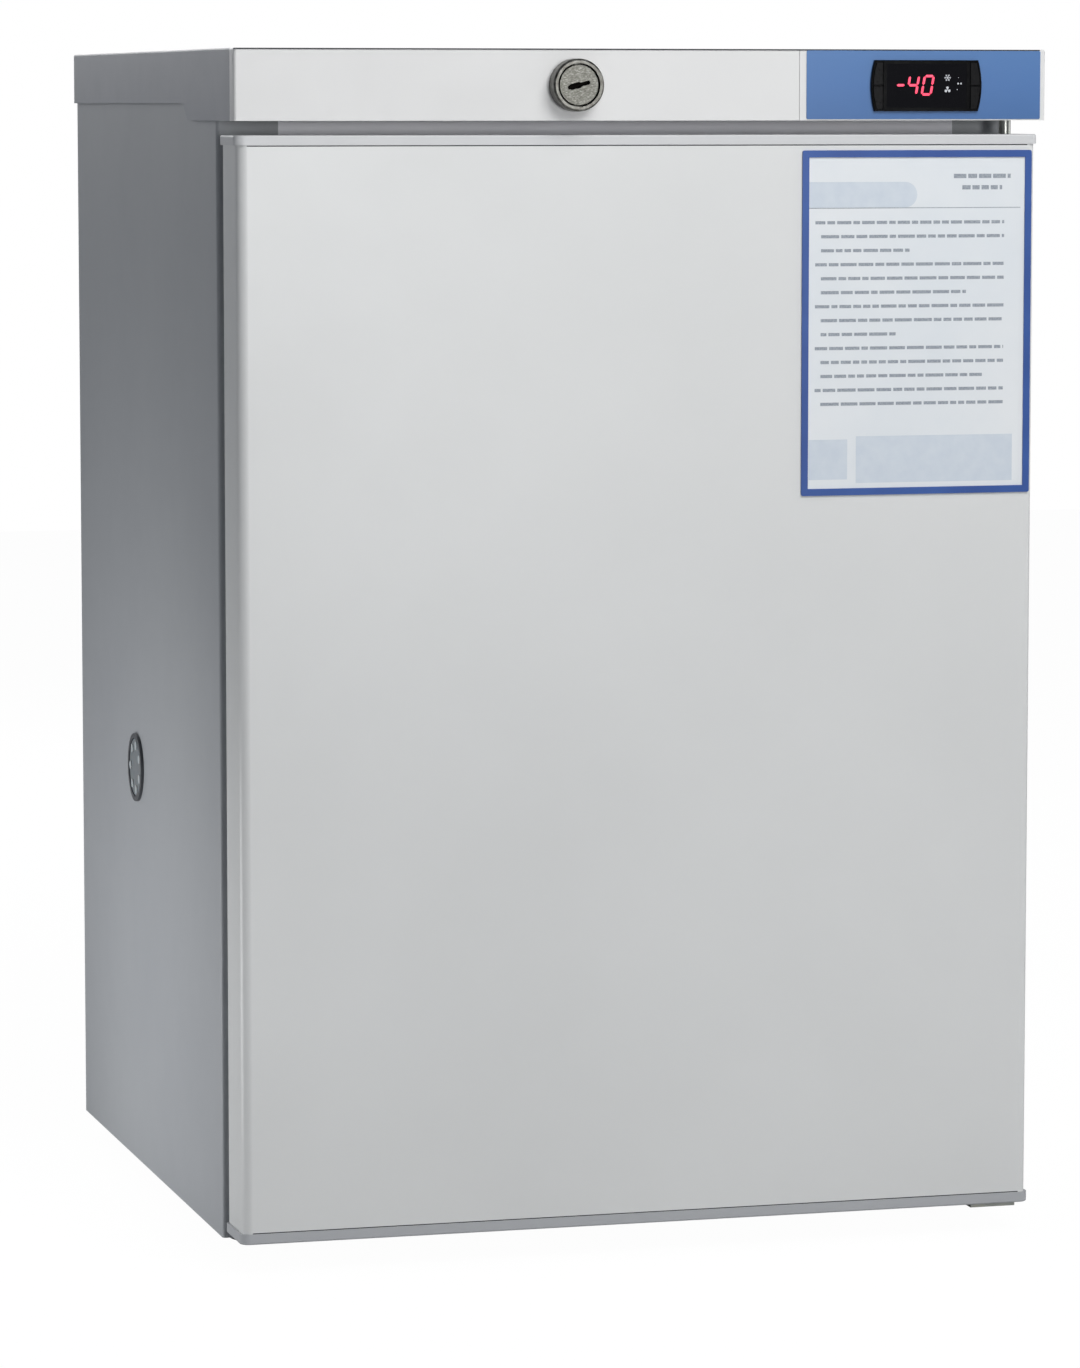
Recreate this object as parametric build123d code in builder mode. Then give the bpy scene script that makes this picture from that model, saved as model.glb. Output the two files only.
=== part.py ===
from build123d import *
from math import cos, radians, sqrt, tan
import os

os.makedirs("parts", exist_ok=True)

# Whole freezer with the door closed: +X to its right, -Y to the front, floor at Z = 0
cover_width = 550
cover_depth = 550
total_height = 797
foot_height = 15
lock_projection = 12

# Sheet metal and general clearances
sheet = 1.0
pan_sheet = 1.2
plate_sheet = 2.0
bend_radius = 2.4
fit_gap = 0.3
running_gap = 0.2
cut_margin = 1

# Top cover and fascia
cover_wall = 1.7
cover_clearance = 0.3
cover_rear_clearance = 1.3
cover_top_wall = 2.5
cover_corner_radius = 4
cover_edge_radius = 1.2
skirt_height = 35.2
skirt_step_start = 143
skirt_step_run = 16
fascia_height = 46.4
fascia_wall = 2.5
fascia_return = 12
fascia_edge_radius = 2
fascia_seam_inset = 171.3
seam_gap = 0.3

# Display panel
film_thickness = 0.4
film_seam_gap = 4.8
film_end_gap = 3.8
film_margin = 0.8
controller_inset = 84.1
controller_drop = 23.7
controller_width = 77
controller_height = 33.4
controller_bulge = 2.4
bezel_stand = 2.4
bezel_base = 0.8
bezel_bevel = 0.6
film_corner_radius = 1
housing_width = 71
housing_height = 29
housing_depth = 52
housing_clip_height = 3
housing_clip_length = 12
housing_clip_width = 14
terminal_pitch = 7.5
terminal_count = 8
terminal_drop = 6
terminal_pit_width = 5
terminal_pit_height = 6
terminal_pit_depth = 3
key_width = 6
key_pocket_wall = 1.0
key_stand = 0.2
key_travel = 0.6
key_gap = 0.35
key_bevel = 0.3
window_thickness = 1.0
window_margin = 2.4
window_recess = 0.1

# Door lock
lock_x = -49.5
lock_drop = 23.5
rosette_radius = 17
rosette_depth = 9.6
rosette_gap = 0.8
rosette_bevel = 1.2
plug_radius = 13.3
plug_recess = 0.6
plug_bevel = 0.5
barrel_radius = 11
barrel_length = 18
stem_radius = 8
nut_radius = 15
nut_thickness = 4
cam_width = 14
cam_reach = 40
cam_thickness = 3
cam_gap = 1.0
cam_hub_rim = 2
cam_square = 9
cam_square_stand = 3
keyway_length = 15.5
keyway_width = 2.6
keyway_depth = 5
keyway_tilt = 14
keyway_belly = (9, 4)
keyway_belly_shift = (-2.2, -0.6)

# Cabinet
cabinet_setback = 62
side_front_flange = 41
side_rear_flange = 25
side_top_clearance = 4
pan_flange = 24
back_recess = 37
back_flange = 20
alcove_height = 190
alcove_depth = 177
rail_depth = 20
top_rail_drop = 50
bottom_rail_rise = 45

# Cold chamber
foam_wall = 65
foam_floor = 63.8
foam_top = 62
hump_foam = 58
liner_wall = 1.5
liner_corner_radius = 14
breaker_wall = 2.5
breaker_lip = 12
ledge_width = 7
ledge_height = 5
shelf_rise = 13
shelf_top_room = 140.4
shelf_count = 3
shelf_side_gap = 1.5
shelf_setback = 34
shelf_rear_gap = 8
shelf_plate = 1.6
shelf_lip = 12
lip_notch_length = 8
lip_notch_gap = 1
channel_width = 9
channel_height = 3
channel_runs = 5
channel_margin = 38

# Door
door_gap = 9.2
door_lift = 6
door_inset = 6
gasket_depth = 12
gasket_width = 20
gasket_edge = 17
cap_overhang = 1.75
cap_proud = 0.5
top_cap_height = 6.4
bottom_cap_height = 6.9
cap_plug_depth = 13
cap_wall = 2.5
cap_edge_radius = 1.2
door_corner_radius = 6.5
door_liner_wall = 2
dike_gap = 7
dike_depth = 24
dike_wall = 26
dike_recess = 12
dike_taper = 5

# Strike slot for the lock's cam
strike_clearance = 1.0
strike_side_gap = 2.0

# Hinges
hinge_inset = 15
hinge_setback = 31
hinge_pin_radius = 4
hinge_bush_wall = 2.5
hinge_bush_length = 11
hinge_bush_seat = 3
hinge_pin_end_gap = 1
hinge_inner_reach = 20.5
hinge_outer_reach = 11
hinge_plate = 3
hinge_plate_corner = 5
hinge_screw_edge = 9
hinge_screw_setback = 14
lower_hinge_sheet = 2.25
lower_hinge_lift = 0.5
lower_screw_drop = 8
hinge_nose = 8
upper_hinge_reach = 60
lower_hinge_leg = 20
screw_radius = 2.4

# Instruction frame on the door
frame_side_gap = 5
frame_top_gap = 10.4
frame_width = 160
frame_height = 227.5
frame_border = 4.6
frame_thickness = 1.2
frame_corner_radius = 1.5
paper_thickness = 0.3

# Access port in the left side
port_offset = 340
port_rise = 33.5
port_rim_radius = 24
port_rim_wall = 3.4
port_rim_stand = 2
port_tube_radius = 19
port_tube_wall = 2
port_plug_gap = 0.4
port_plug_head = 1.6
port_plug_length = 48
port_plug_taper = 0.4
port_lobe_count = 7
port_lobe_radius = 3.1
port_lobe_inset = 1.2
port_plug_seat = 0.1
port_plug_face = 0.8

# Compressor and its plate
compressor_x = -62
compressor_shift = 4
compressor_length = 180
compressor_width = 128
compressor_shell_height = 92
compressor_floor_bevel = 14
compressor_dome_steps = ((20, 7), (14, 30), (9, 56))
compressor_sag = 2
seam_width = 3
seam_height = 5
grommet_radius = 10
grommet_height = 13
grommet_bore = 4.5
foot_spacing_x = 166
foot_spacing_y = 102
foot_tab_length = 196
foot_tab_width = 26
foot_tab_sheet = 3
foot_tab_hole_gap = 1.5
bolt_radius = 4
bolt_head_radius = 7
bolt_head_height = 5
washer_thickness = 1.5
terminal_box_length = 36
terminal_box_width = 62
terminal_box_height = 58
terminal_box_rise = 26
terminal_box_overlap = 6
terminal_box_corner = 6
terminal_box_edge = 3
plate_flange = 28
vent_slot_length = 60
vent_slot_width = 7
vent_slot_pitch = 14
vent_slot_count = 5
vent_slots_inset = 144

# Condenser on the back
tube_radius = 2.4
condenser_side_gap = 49
condenser_runs = 10
condenser_rise = 33
condenser_drop = 65.4
condenser_centre = 20
wire_radius = 0.85
wire_count = 36
wire_overhang = 14
clip_height = 16
clip_play = 1
bend_slack = 0.01
round_sides = 8
small_round_sides = 6

# Refrigerant circuit
drier_radius = 9.5
drier_length = 92
drier_neck = 3.2
drier_neck_length = 8
drier_shoulder = 10
drier_drop = 20
suction_radius = 4
discharge_radius = 2.6
capillary_radius = 1.1
riser_radius = 3
riser_reach = 18
line_bend = 5
line_clearance = 14
discharge_port_share = 0.8
suction_port_share = 0.6
liquid_offset = 12
discharge_offset = 30
port_spread = 22
suction_offset = 34

# Power inlet and wiring
inlet_width = 27
inlet_height = 20
inlet_depth = 24
inlet_flange_width = 48
inlet_flange_height = 30
inlet_flange_wall = 3
inlet_wall = 2.2
inlet_key = 4
inlet_pin_length = 14
inlet_pin_pitch = 7
inlet_pin_recess = 3
inlet_tab_width = 74
inlet_tab_height = 88
inlet_tab_inset = 82
inlet_tab_corner = 6
inlet_drop = 8
inlet_flange_corner = 4
inlet_pin_width = 2
inlet_pin_height = 4
harness_radius = 3.5
harness_bend = 8
harness_clearance = 14
harness_first_run = 70
harness_ramp = 40
harness_turn_start = 60
harness_turn_end = 30
harness_drop_y = 12
harness_inlet_run = 25
harness_inlet_rise = 30

# Temperature probe
probe_radius = 3
probe_length = 34
probe_tip_bevel = 1.2
probe_cover_width = 26
probe_cover_height = 62
probe_cover_depth = 15
probe_cover_wall = 2
probe_cover_corner = 5
probe_cover_edge = 2
probe_vent_pitch = 9
probe_vent_count = 5
probe_vent_length = 14
probe_vent_width = 3.5
probe_bridge_rise = 15
probe_bridge_height = 3.5
probe_bridge_wall = 1.5
probe_inset = 87
probe_drop = 64.4

# Levelling feet
foot_pad_radius = 18
foot_pad_height = 7
foot_stem_radius = 5
foot_stem_length = 42
foot_stem_gap = 0.35
foot_insert_wall = 3
foot_insert_height = 12
foot_nut_height = 5
foot_nut_radius = 9
foot_pad_edge = 2.5
foot_stem_inset = 6
foot_side_inset = 38
foot_front_inset = 70
foot_rear_inset = 46

# Planes of the fascia, cover and cabinet, all from the overall size
overall_depth = cover_depth + lock_projection
fascia_front = lock_projection - overall_depth / 2
cover_half = cover_width / 2
cover_rear = overall_depth / 2
cover_inner_half = cover_half - cover_wall
cabinet_half = cover_inner_half - cover_clearance
cabinet_front = fascia_front + cabinet_setback
cabinet_rear = cover_rear - cover_wall - cover_rear_clearance
cabinet_inner_half = cabinet_half - sheet
fascia_bottom = total_height - fascia_height
skirt_bottom = total_height - skirt_height
cabinet_top = fascia_bottom + fascia_wall + fit_gap
cover_ceiling = total_height - cover_top_wall
back_plane = cabinet_rear - back_recess
alcove_front = cabinet_rear - alcove_depth
alcove_top = foot_height + alcove_height
foam_bottom = foot_height + pan_sheet
foam_ceiling = cabinet_top - sheet

# Planes of the chamber
chamber_half = cabinet_half - sheet - foam_wall
chamber_bottom = foam_bottom + foam_floor
chamber_top = foam_ceiling - foam_top
chamber_rear = back_plane - foam_wall
hump_front = alcove_front - hump_foam
hump_top = alcove_top + hump_foam
liner_front = cabinet_front + breaker_lip
flange_inner_half = cabinet_half - side_front_flange

# Planes of the door
door_top = fascia_bottom - door_gap
door_bottom = foot_height + door_lift
door_front = fascia_front + door_inset
door_back = cabinet_front - gasket_depth
panel_half = cabinet_half - cap_overhang
panel_front = door_front + cap_proud
panel_top = door_top - top_cap_height
panel_bottom = door_bottom + bottom_cap_height
core_half = panel_half - sheet
core_front = panel_front + sheet
core_back = door_back - door_liner_wall
hinge_x = cabinet_half - hinge_inset
hinge_y = fascia_front + hinge_setback
gasket_half = cabinet_half - gasket_edge
gasket_top = door_top - gasket_edge
gasket_bottom = door_bottom + gasket_edge
gasket_back = cabinet_front - fit_gap

# Places on the front of the cover and the door
fascia_seam_x = cover_half - fascia_seam_inset
film_left = fascia_seam_x + film_seam_gap
film_right = cover_half - film_end_gap
controller_centre_x = cover_half - controller_inset
controller_centre_z = total_height - controller_drop
lock_z = total_height - lock_drop
frame_right = cabinet_half - frame_side_gap
frame_left = frame_right - frame_width
frame_top = door_top - frame_top_gap
frame_bottom = frame_top - frame_height

# Places in the chamber, the alcove and on the back
port_height = hump_top + port_rise
shelf_first_level = hump_top + shelf_rise
shelf_pitch = (chamber_top - shelf_top_room - shelf_first_level) / (shelf_count - 1)
probe_x = chamber_half - probe_inset
probe_z = chamber_top - probe_drop
inlet_tab_x = cabinet_inner_half - inlet_tab_inset
vent_slots_x = cabinet_inner_half - vent_slots_inset
condenser_width = 2 * (cabinet_half - condenser_side_gap)
condenser_bottom = alcove_top + condenser_rise
condenser_pitch = (cabinet_top - condenser_drop - condenser_bottom) / (condenser_runs - 1)

# Axes of the lock and the port
cam_back = fascia_front + barrel_length + cam_gap + cam_thickness
cam_front = cam_back - cam_thickness
port_y = fascia_front + port_offset


def box_between(low, high):
    """A block from its lowest to its highest corner."""
    size = [high[i] - low[i] for i in range(3)]
    middle = [(high[i] + low[i]) / 2 for i in range(3)]
    with BuildPart() as block:
        with Locations(tuple(middle)):
            Box(*size)
    return block.part


def folded_sheet(plane, points, thickness, side, length):
    """A sheet folded along the corners of an open outline and as long as asked."""
    with BuildPart() as folded:
        with BuildSketch(plane):
            with BuildLine():
                FilletPolyline(*points, radius=bend_radius)
                offset(amount=thickness, side=side)
            make_face()
        extrude(amount=length)
    return folded.part


def bent_tube(points, bend, radius, sides):
    """A tube along straight runs and tangent bends, drawn with flat sides."""
    with BuildPart() as tube:
        with BuildLine() as path:
            FilletPolyline(*points, radius=bend)
        with BuildSketch(Plane(origin=path.line @ 0, z_dir=path.line % 0)):
            RegularPolygon(radius=radius, side_count=sides)
        sweep()
    return tube.part


def rod(centre, direction, radius, length):
    """A round bar that starts at a point and runs along a direction."""
    with BuildPart() as bar:
        with BuildSketch(Plane(origin=centre, z_dir=direction)):
            Circle(radius)
        extrude(amount=length)
    return bar.part


def chamber_block(grow):
    """The room inside the liner with its step over the compressor, or its outside."""
    front = cabinet_front - cut_margin if grow == 0 else liner_front
    outline = [
        (front, chamber_bottom - grow),
        (hump_front + grow, chamber_bottom - grow),
        (hump_front + grow, hump_top - grow),
        (chamber_rear + grow, hump_top - grow),
        (chamber_rear + grow, chamber_top + grow),
        (front, chamber_top + grow),
    ]
    with BuildPart() as block:
        with BuildSketch(Plane.YZ.offset(-chamber_half - grow)):
            with BuildLine():
                Polyline(*outline, close=True)
            make_face()
        extrude(amount=2 * (chamber_half + grow))
        fillet(block.edges().filter_by(Axis.Y), liner_corner_radius + grow)
    return block.part


# Left side panel: a folded steel sheet with a hole for the access port
side_outline = [
    (flange_inner_half, cabinet_front),
    (cabinet_half, cabinet_front),
    (cabinet_half, cabinet_rear),
    (cabinet_half - side_rear_flange, cabinet_rear),
]
side_top = cover_ceiling - side_top_clearance
with BuildPart() as right_side_panel:
    add(folded_sheet(Plane.XY.offset(foot_height), side_outline, sheet, Side.LEFT, side_top - foot_height))
    # The front flange ends at the top of the cabinet, under the hinge plate
    add(
        box_between(
            (flange_inner_half - cut_margin, cabinet_front - cut_margin, cabinet_top),
            (cabinet_inner_half, cabinet_front + bend_radius, side_top + cut_margin),
        ),
        mode=Mode.SUBTRACT,
    )
right_side_panel.part.label = "right_side_panel"
export_step(right_side_panel.part, "parts/right_side_panel.step")

with BuildPart() as left_side_panel:
    add(mirror(right_side_panel.part, about=Plane.YZ, mode=Mode.PRIVATE))
    with Locations(Plane(origin=(-cabinet_half, port_y, port_height), z_dir=(-1, 0, 0))):
        Hole(port_tube_radius + fit_gap, depth=2 * sheet)
left_side_panel.part.label = "left_side_panel"
export_step(left_side_panel.part, "parts/left_side_panel.step")

# Back panel: recessed sheet whose side flanges turn out to the side panels
back_outline = [
    (-cabinet_inner_half, back_plane + back_flange),
    (-cabinet_inner_half, back_plane - sheet),
    (cabinet_inner_half, back_plane - sheet),
    (cabinet_inner_half, back_plane + back_flange),
]
with BuildPart() as back_panel:
    add(folded_sheet(Plane.XY.offset(alcove_top), back_outline, sheet, Side.LEFT, cabinet_top - alcove_top))
back_panel.part.label = "back_panel"
export_step(back_panel.part, "parts/back_panel.step")

# Top panel: a tray with upturned side flanges that carries the hinge plate and the controller
top_outline = [
    (-cabinet_inner_half, cabinet_top + pan_flange),
    (-cabinet_inner_half, foam_ceiling),
    (cabinet_inner_half, foam_ceiling),
    (cabinet_inner_half, cabinet_top + pan_flange),
]
with BuildPart() as top_panel:
    add(
        folded_sheet(
            Plane.XZ.offset(-(back_plane - sheet)),
            top_outline,
            sheet,
            Side.LEFT,
            back_plane - sheet - cabinet_front - bend_radius,
        )
    )
top_panel.part.label = "top_panel"
export_step(top_panel.part, "parts/top_panel.step")

# Base pan: the folded floor of the cabinet under the foam
pan_outline = [
    (-cabinet_inner_half, foot_height + pan_flange),
    (-cabinet_inner_half, foot_height),
    (cabinet_inner_half, foot_height),
    (cabinet_inner_half, foot_height + pan_flange),
]
foot_x = cabinet_half - foot_side_inset
foot_front_y = cabinet_front + foot_front_inset
foot_rear_y = cabinet_rear - foot_rear_inset
front_feet = [(-foot_x, foot_front_y), (foot_x, foot_front_y)]
rear_feet = [(-foot_x, foot_rear_y), (foot_x, foot_rear_y)]
insert_radius = foot_stem_radius + foot_stem_gap + foot_insert_wall
with BuildPart() as base_pan:
    add(
        folded_sheet(
            Plane.XZ.offset(-(alcove_front - sheet)),
            pan_outline,
            pan_sheet,
            Side.LEFT,
            alcove_front - sheet - cabinet_front - bend_radius,
        )
    )
    with Locations([(x, y, foot_height) for x, y in front_feet]):
        Hole(insert_radius, depth=3 * pan_sheet)
base_pan.part.label = "base_pan"
export_step(base_pan.part, "parts/base_pan.step")

# Alcove panel: the bent sheet that walls off the compressor alcove
alcove_outline = [
    (alcove_front, foam_bottom),
    (alcove_front, alcove_top),
    (back_plane - sheet, alcove_top),
]
with BuildPart() as alcove_panel:
    add(
        folded_sheet(
            Plane.YZ.offset(-cabinet_inner_half),
            alcove_outline,
            sheet,
            Side.LEFT,
            2 * cabinet_inner_half,
        )
    )
alcove_panel.part.label = "alcove_panel"
export_step(alcove_panel.part, "parts/alcove_panel.step")

# Front rails: channels above and below the door opening, between the side flanges
rail_length = 2 * flange_inner_half
top_rail_bottom = cabinet_top - top_rail_drop
bottom_rail_top = foot_height + bottom_rail_rise
top_rail_outline = [
    (cabinet_front + rail_depth, foam_ceiling),
    (cabinet_front, foam_ceiling),
    (cabinet_front, top_rail_bottom),
    (cabinet_front + rail_depth, top_rail_bottom),
]
bottom_rail_outline = [
    (cabinet_front + rail_depth, bottom_rail_top),
    (cabinet_front, bottom_rail_top),
    (cabinet_front, foam_bottom),
    (cabinet_front + rail_depth, foam_bottom),
]
with BuildPart() as front_rails:
    for outline in (top_rail_outline, bottom_rail_outline):
        add(folded_sheet(Plane.YZ.offset(-flange_inner_half), outline, sheet, Side.LEFT, rail_length))
front_rails.part.label = "front_rails"
export_step(front_rails.part, "parts/front_rails.step")

# Breaker frame: the moulded ring between the steel front and the cold liner
chamber_height = chamber_top - chamber_bottom
chamber_middle = (chamber_top + chamber_bottom) / 2
breaker_height = top_rail_bottom - bottom_rail_top
breaker_middle = (top_rail_bottom + bottom_rail_top) / 2
with BuildPart() as breaker_frame:
    with BuildSketch(Plane.XZ.offset(-cabinet_front)):
        with Locations((0, breaker_middle)):
            Rectangle(2 * flange_inner_half, breaker_height)
        with Locations((0, chamber_middle)):
            RectangleRounded(2 * chamber_half, chamber_height, liner_corner_radius, mode=Mode.SUBTRACT)
    extrude(amount=-breaker_wall)
    with BuildSketch(Plane.XZ.offset(-cabinet_front)):
        with Locations((0, chamber_middle)):
            RectangleRounded(
                2 * (chamber_half + liner_wall),
                chamber_height + 2 * liner_wall,
                liner_corner_radius + liner_wall,
            )
            RectangleRounded(2 * chamber_half, chamber_height, liner_corner_radius, mode=Mode.SUBTRACT)
    extrude(amount=-breaker_lip)
breaker_frame.part.label = "breaker_frame"
export_step(breaker_frame.part, "parts/breaker_frame.step")

# Liner: the moulded chamber with a step at the back and ledges that carry the shelves
shelf_levels = [shelf_first_level + shelf_pitch * i for i in range(shelf_count)]
ledge_front = cabinet_front + shelf_setback
ledge_rear = chamber_rear - shelf_rear_gap
port_tube_inner = port_tube_radius - port_tube_wall
port_axis_plane = Plane(origin=(-chamber_half, port_y, port_height), z_dir=(-1, 0, 0))
with BuildPart() as inner_liner:
    add(chamber_block(liner_wall))
    add(chamber_block(0), mode=Mode.SUBTRACT)
    for level in shelf_levels:
        for edge in (-1, 1):
            wall = edge * chamber_half
            inward = edge * (chamber_half - ledge_width)
            with BuildSketch(Plane.XZ.offset(-ledge_rear)):
                with BuildLine():
                    Polyline(
                        (wall, level),
                        (inward, level),
                        (inward, level - ledge_height / 2),
                        (wall, level - ledge_height),
                        close=True,
                    )
                make_face()
            extrude(amount=ledge_rear - ledge_front)
    with Locations(port_axis_plane):
        Hole(port_tube_radius + fit_gap, depth=3 * liner_wall)
inner_liner.part.label = "inner_liner"
export_step(inner_liner.part, "parts/inner_liner.step")

# Foam: poured between the shell and the liner, stepped over the alcove
foam_half = cabinet_inner_half - pan_sheet
foam_front = cabinet_front + rail_depth
with BuildPart() as cabinet_foam:
    add(box_between((-foam_half, foam_front, foam_bottom), (foam_half, back_plane - sheet, foam_ceiling)))
    chamfer(cabinet_foam.edges().filter_by(Axis.Y), bend_radius)
    add(
        box_between(
            (-cabinet_half, alcove_front - sheet, foot_height),
            (cabinet_half, back_plane, alcove_top + sheet),
        ),
        mode=Mode.SUBTRACT,
    )
    add(chamber_block(liner_wall), mode=Mode.SUBTRACT)
    with Locations(Plane(origin=(-foam_half, port_y, port_height), z_dir=(-1, 0, 0))):
        Hole(port_tube_radius + fit_gap, depth=foam_wall)
    for x, y in front_feet:
        pocket = rod((x, y, foot_height), (0, 0, 1), insert_radius + fit_gap, foot_stem_length)
        add(pocket, mode=Mode.SUBTRACT)
cabinet_foam.part.label = "cabinet_foam"
export_step(cabinet_foam.part, "parts/cabinet_foam.step")

# Top cover: a deep lid with stepped side skirts, open at the front for the fascia
skirt_step_front = fascia_front + skirt_step_start
cover_front = fascia_front + fascia_return + seam_gap
with BuildPart() as top_cover:
    with BuildSketch(Plane.YZ.offset(-cover_half)):
        with BuildLine():
            Polyline(
                (cover_front, total_height),
                (cover_rear, total_height),
                (cover_rear, skirt_bottom),
                (skirt_step_front + skirt_step_run, skirt_bottom),
                (skirt_step_front, fascia_bottom),
                (cover_front, fascia_bottom),
                close=True,
            )
        make_face()
    extrude(amount=cover_width)
    rear_corners = top_cover.edges().filter_by(Axis.Z).group_by(Axis.Y)[-1]
    fillet(rear_corners, cover_corner_radius)
    top_edges = top_cover.faces().sort_by(Axis.Z)[-1].edges()
    fillet([e for e in top_edges if e.center().Y > cover_front + seam_gap], cover_edge_radius)
    with BuildSketch(Plane.XY.offset(fascia_bottom)):
        with Locations((0, (cover_front + cover_rear - cover_wall) / 2)):
            Rectangle(2 * cover_inner_half, cover_rear - cover_wall - cover_front)
        fillet(
            [v for v in vertices() if v.Y > 0],
            cover_corner_radius - cover_wall,
        )
    extrude(amount=cover_ceiling - fascia_bottom, mode=Mode.SUBTRACT)
top_cover.part.label = "top_cover"
export_step(top_cover.part, "parts/top_cover.step")


def fascia_shell(inner_x, outer_x):
    """Front wall, floor, top return and end return of a fascia half."""
    left, right = min(inner_x, outer_x), max(inner_x, outer_x)
    outward = 1 if outer_x > inner_x else -1
    floor_left = max(left, -cover_inner_half + fit_gap)
    floor_right = min(right, cover_inner_half - fit_gap)
    floor_back = cabinet_front - fit_gap
    return_back = fascia_front + fascia_return
    with BuildPart() as shell:
        add(box_between((left, fascia_front, fascia_bottom), (right, return_back, total_height)))
        front_edges = shell.edges().group_by(Axis.Y)[0]
        end_edge = front_edges.filter_by(Axis.Z).sort_by(Axis.X)[-1 if outward > 0 else 0]
        fillet(end_edge, fascia_edge_radius)
        top_edge = shell.edges().filter_by(Axis.X).group_by(Axis.Y)[0].group_by(Axis.Z)[-1]
        fillet(top_edge, cover_edge_radius)
        open_left = left if outward > 0 else left + fascia_wall
        open_right = right if outward < 0 else right - fascia_wall
        add(
            box_between(
                (open_left, fascia_front + fascia_wall, fascia_bottom + fascia_wall),
                (open_right, return_back, total_height - cover_top_wall),
            ),
            mode=Mode.SUBTRACT,
        )
        add(
            box_between(
                (floor_left, fascia_front + fascia_wall, fascia_bottom),
                (floor_right, floor_back, fascia_bottom + fascia_wall),
            )
        )
    return shell.part


# Fascia: the moulded front of the cover, with the hole for the lock and a slot for its cam
cam_floor_drop = lock_z - (fascia_bottom + fascia_wall)
cam_floor_reach = sqrt(cam_reach**2 - cam_floor_drop**2)
with BuildPart() as control_fascia:
    add(fascia_shell(fascia_seam_x - seam_gap / 2, -cover_half))
    with Locations(Plane(origin=(lock_x, fascia_front, lock_z), z_dir=(0, -1, 0))):
        Hole(barrel_radius + fit_gap, depth=2 * fascia_wall)
    add(
        box_between(
            (
                lock_x - cam_width / 2 - strike_clearance,
                cam_front - strike_side_gap,
                fascia_bottom - cut_margin,
            ),
            (
                lock_x + cam_floor_reach + strike_clearance,
                cam_back + strike_side_gap,
                fascia_bottom + fascia_wall + cut_margin,
            ),
        ),
        mode=Mode.SUBTRACT,
    )
control_fascia.part.label = "control_fascia"
export_step(control_fascia.part, "parts/control_fascia.step")

# Display panel: the right part of the fascia, cut out for the controller and the hinge pin
with BuildPart() as display_panel:
    add(fascia_shell(fascia_seam_x + seam_gap / 2, cover_half))
    add(
        box_between(
            (
                controller_centre_x - housing_width / 2 - fit_gap,
                fascia_front - cut_margin,
                controller_centre_z - housing_height / 2 - fit_gap,
            ),
            (
                controller_centre_x + housing_width / 2 + fit_gap,
                fascia_front + fascia_wall + cut_margin,
                controller_centre_z + housing_height / 2 + fit_gap,
            ),
        ),
        mode=Mode.SUBTRACT,
    )
    with Locations((hinge_x, hinge_y, fascia_bottom + fascia_wall)):
        Hole(hinge_pin_radius + hinge_bush_wall, depth=2 * fascia_wall)
display_panel.part.label = "display_panel"
export_step(display_panel.part, "parts/display_panel.step")

# Film: the thin coloured sheet bonded to the display panel
film_height = fascia_height - 2 * film_margin
with BuildPart() as display_film:
    with BuildSketch(Plane.XZ.offset(-fascia_front)):
        with Locations(((film_left + film_right) / 2, fascia_bottom + fascia_height / 2)):
            RectangleRounded(film_right - film_left, film_height, film_corner_radius)
        with Locations((controller_centre_x, controller_centre_z)):
            Rectangle(housing_width + 2 * fit_gap, housing_height + 2 * fit_gap, mode=Mode.SUBTRACT)
    extrude(amount=film_thickness)
display_film.part.label = "display_film"
export_step(display_film.part, "parts/display_film.step")

film_front = fascia_front - film_thickness
key_inner_x = controller_width / 2 - controller_bulge - key_width
window_width = 2 * (key_inner_x - key_pocket_wall - key_gap) - 2 * key_pocket_wall


def barrel_outline(shrink):
    """The controller's outline: straight top and bottom, ends that bulge outwards."""
    half_height = controller_height / 2 - shrink
    corner = controller_width / 2 - controller_bulge - shrink
    bulge = controller_width / 2 - shrink
    with BuildSketch() as outline:
        with BuildLine():
            Line((-corner, half_height), (corner, half_height))
            ThreePointArc((corner, half_height), (bulge, 0), (corner, -half_height))
            Line((corner, -half_height), (-corner, -half_height))
            ThreePointArc((-corner, -half_height), (-bulge, 0), (-corner, half_height))
        make_face()
    return outline.sketch


def key_outline(side, level, shrink):
    """One of the four end keys: bounded by the bulged end and the middle of the bezel."""
    block = controller_height
    with BuildSketch() as outline:
        add(barrel_outline(key_pocket_wall + shrink))
        with Locations((side * (key_inner_x + shrink + block / 2), level * (shrink + block / 2))):
            Rectangle(block, block, mode=Mode.INTERSECT)
    return outline.sketch


# Controller bezel: the black front with its pockets for the window and the four keys
bezel_plane = Plane(
    origin=(controller_centre_x, film_front, controller_centre_z), x_dir=(1, 0, 0), z_dir=(0, -1, 0)
)
key_places = {
    "key_upper_left": (-1, 1),
    "key_lower_left": (-1, -1),
    "key_upper_right": (1, 1),
    "key_lower_right": (1, -1),
}
with BuildPart() as controller_bezel:
    with BuildSketch(bezel_plane):
        add(barrel_outline(0))
    extrude(amount=bezel_stand)
    chamfer(controller_bezel.faces().sort_by(Axis.Y)[0].edges(), bezel_bevel)
    for side, level in key_places.values():
        with BuildSketch(bezel_plane.offset(bezel_base)):
            add(key_outline(side, level, 0))
        extrude(amount=bezel_stand, mode=Mode.SUBTRACT)
    with BuildSketch(bezel_plane.offset(bezel_stand - window_thickness)):
        Rectangle(window_width, controller_height - 2 * window_margin)
    extrude(amount=bezel_stand, mode=Mode.SUBTRACT)
controller_bezel.part.label = "controller_bezel"
export_step(controller_bezel.part, "parts/controller_bezel.step")

with BuildPart() as display_window:
    with BuildSketch(bezel_plane.offset(bezel_stand - window_thickness)):
        Rectangle(window_width, controller_height - 2 * window_margin)
    extrude(amount=window_thickness - window_recess)
display_window.part.label = "display_window"
export_step(display_window.part, "parts/display_window.step")

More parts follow.
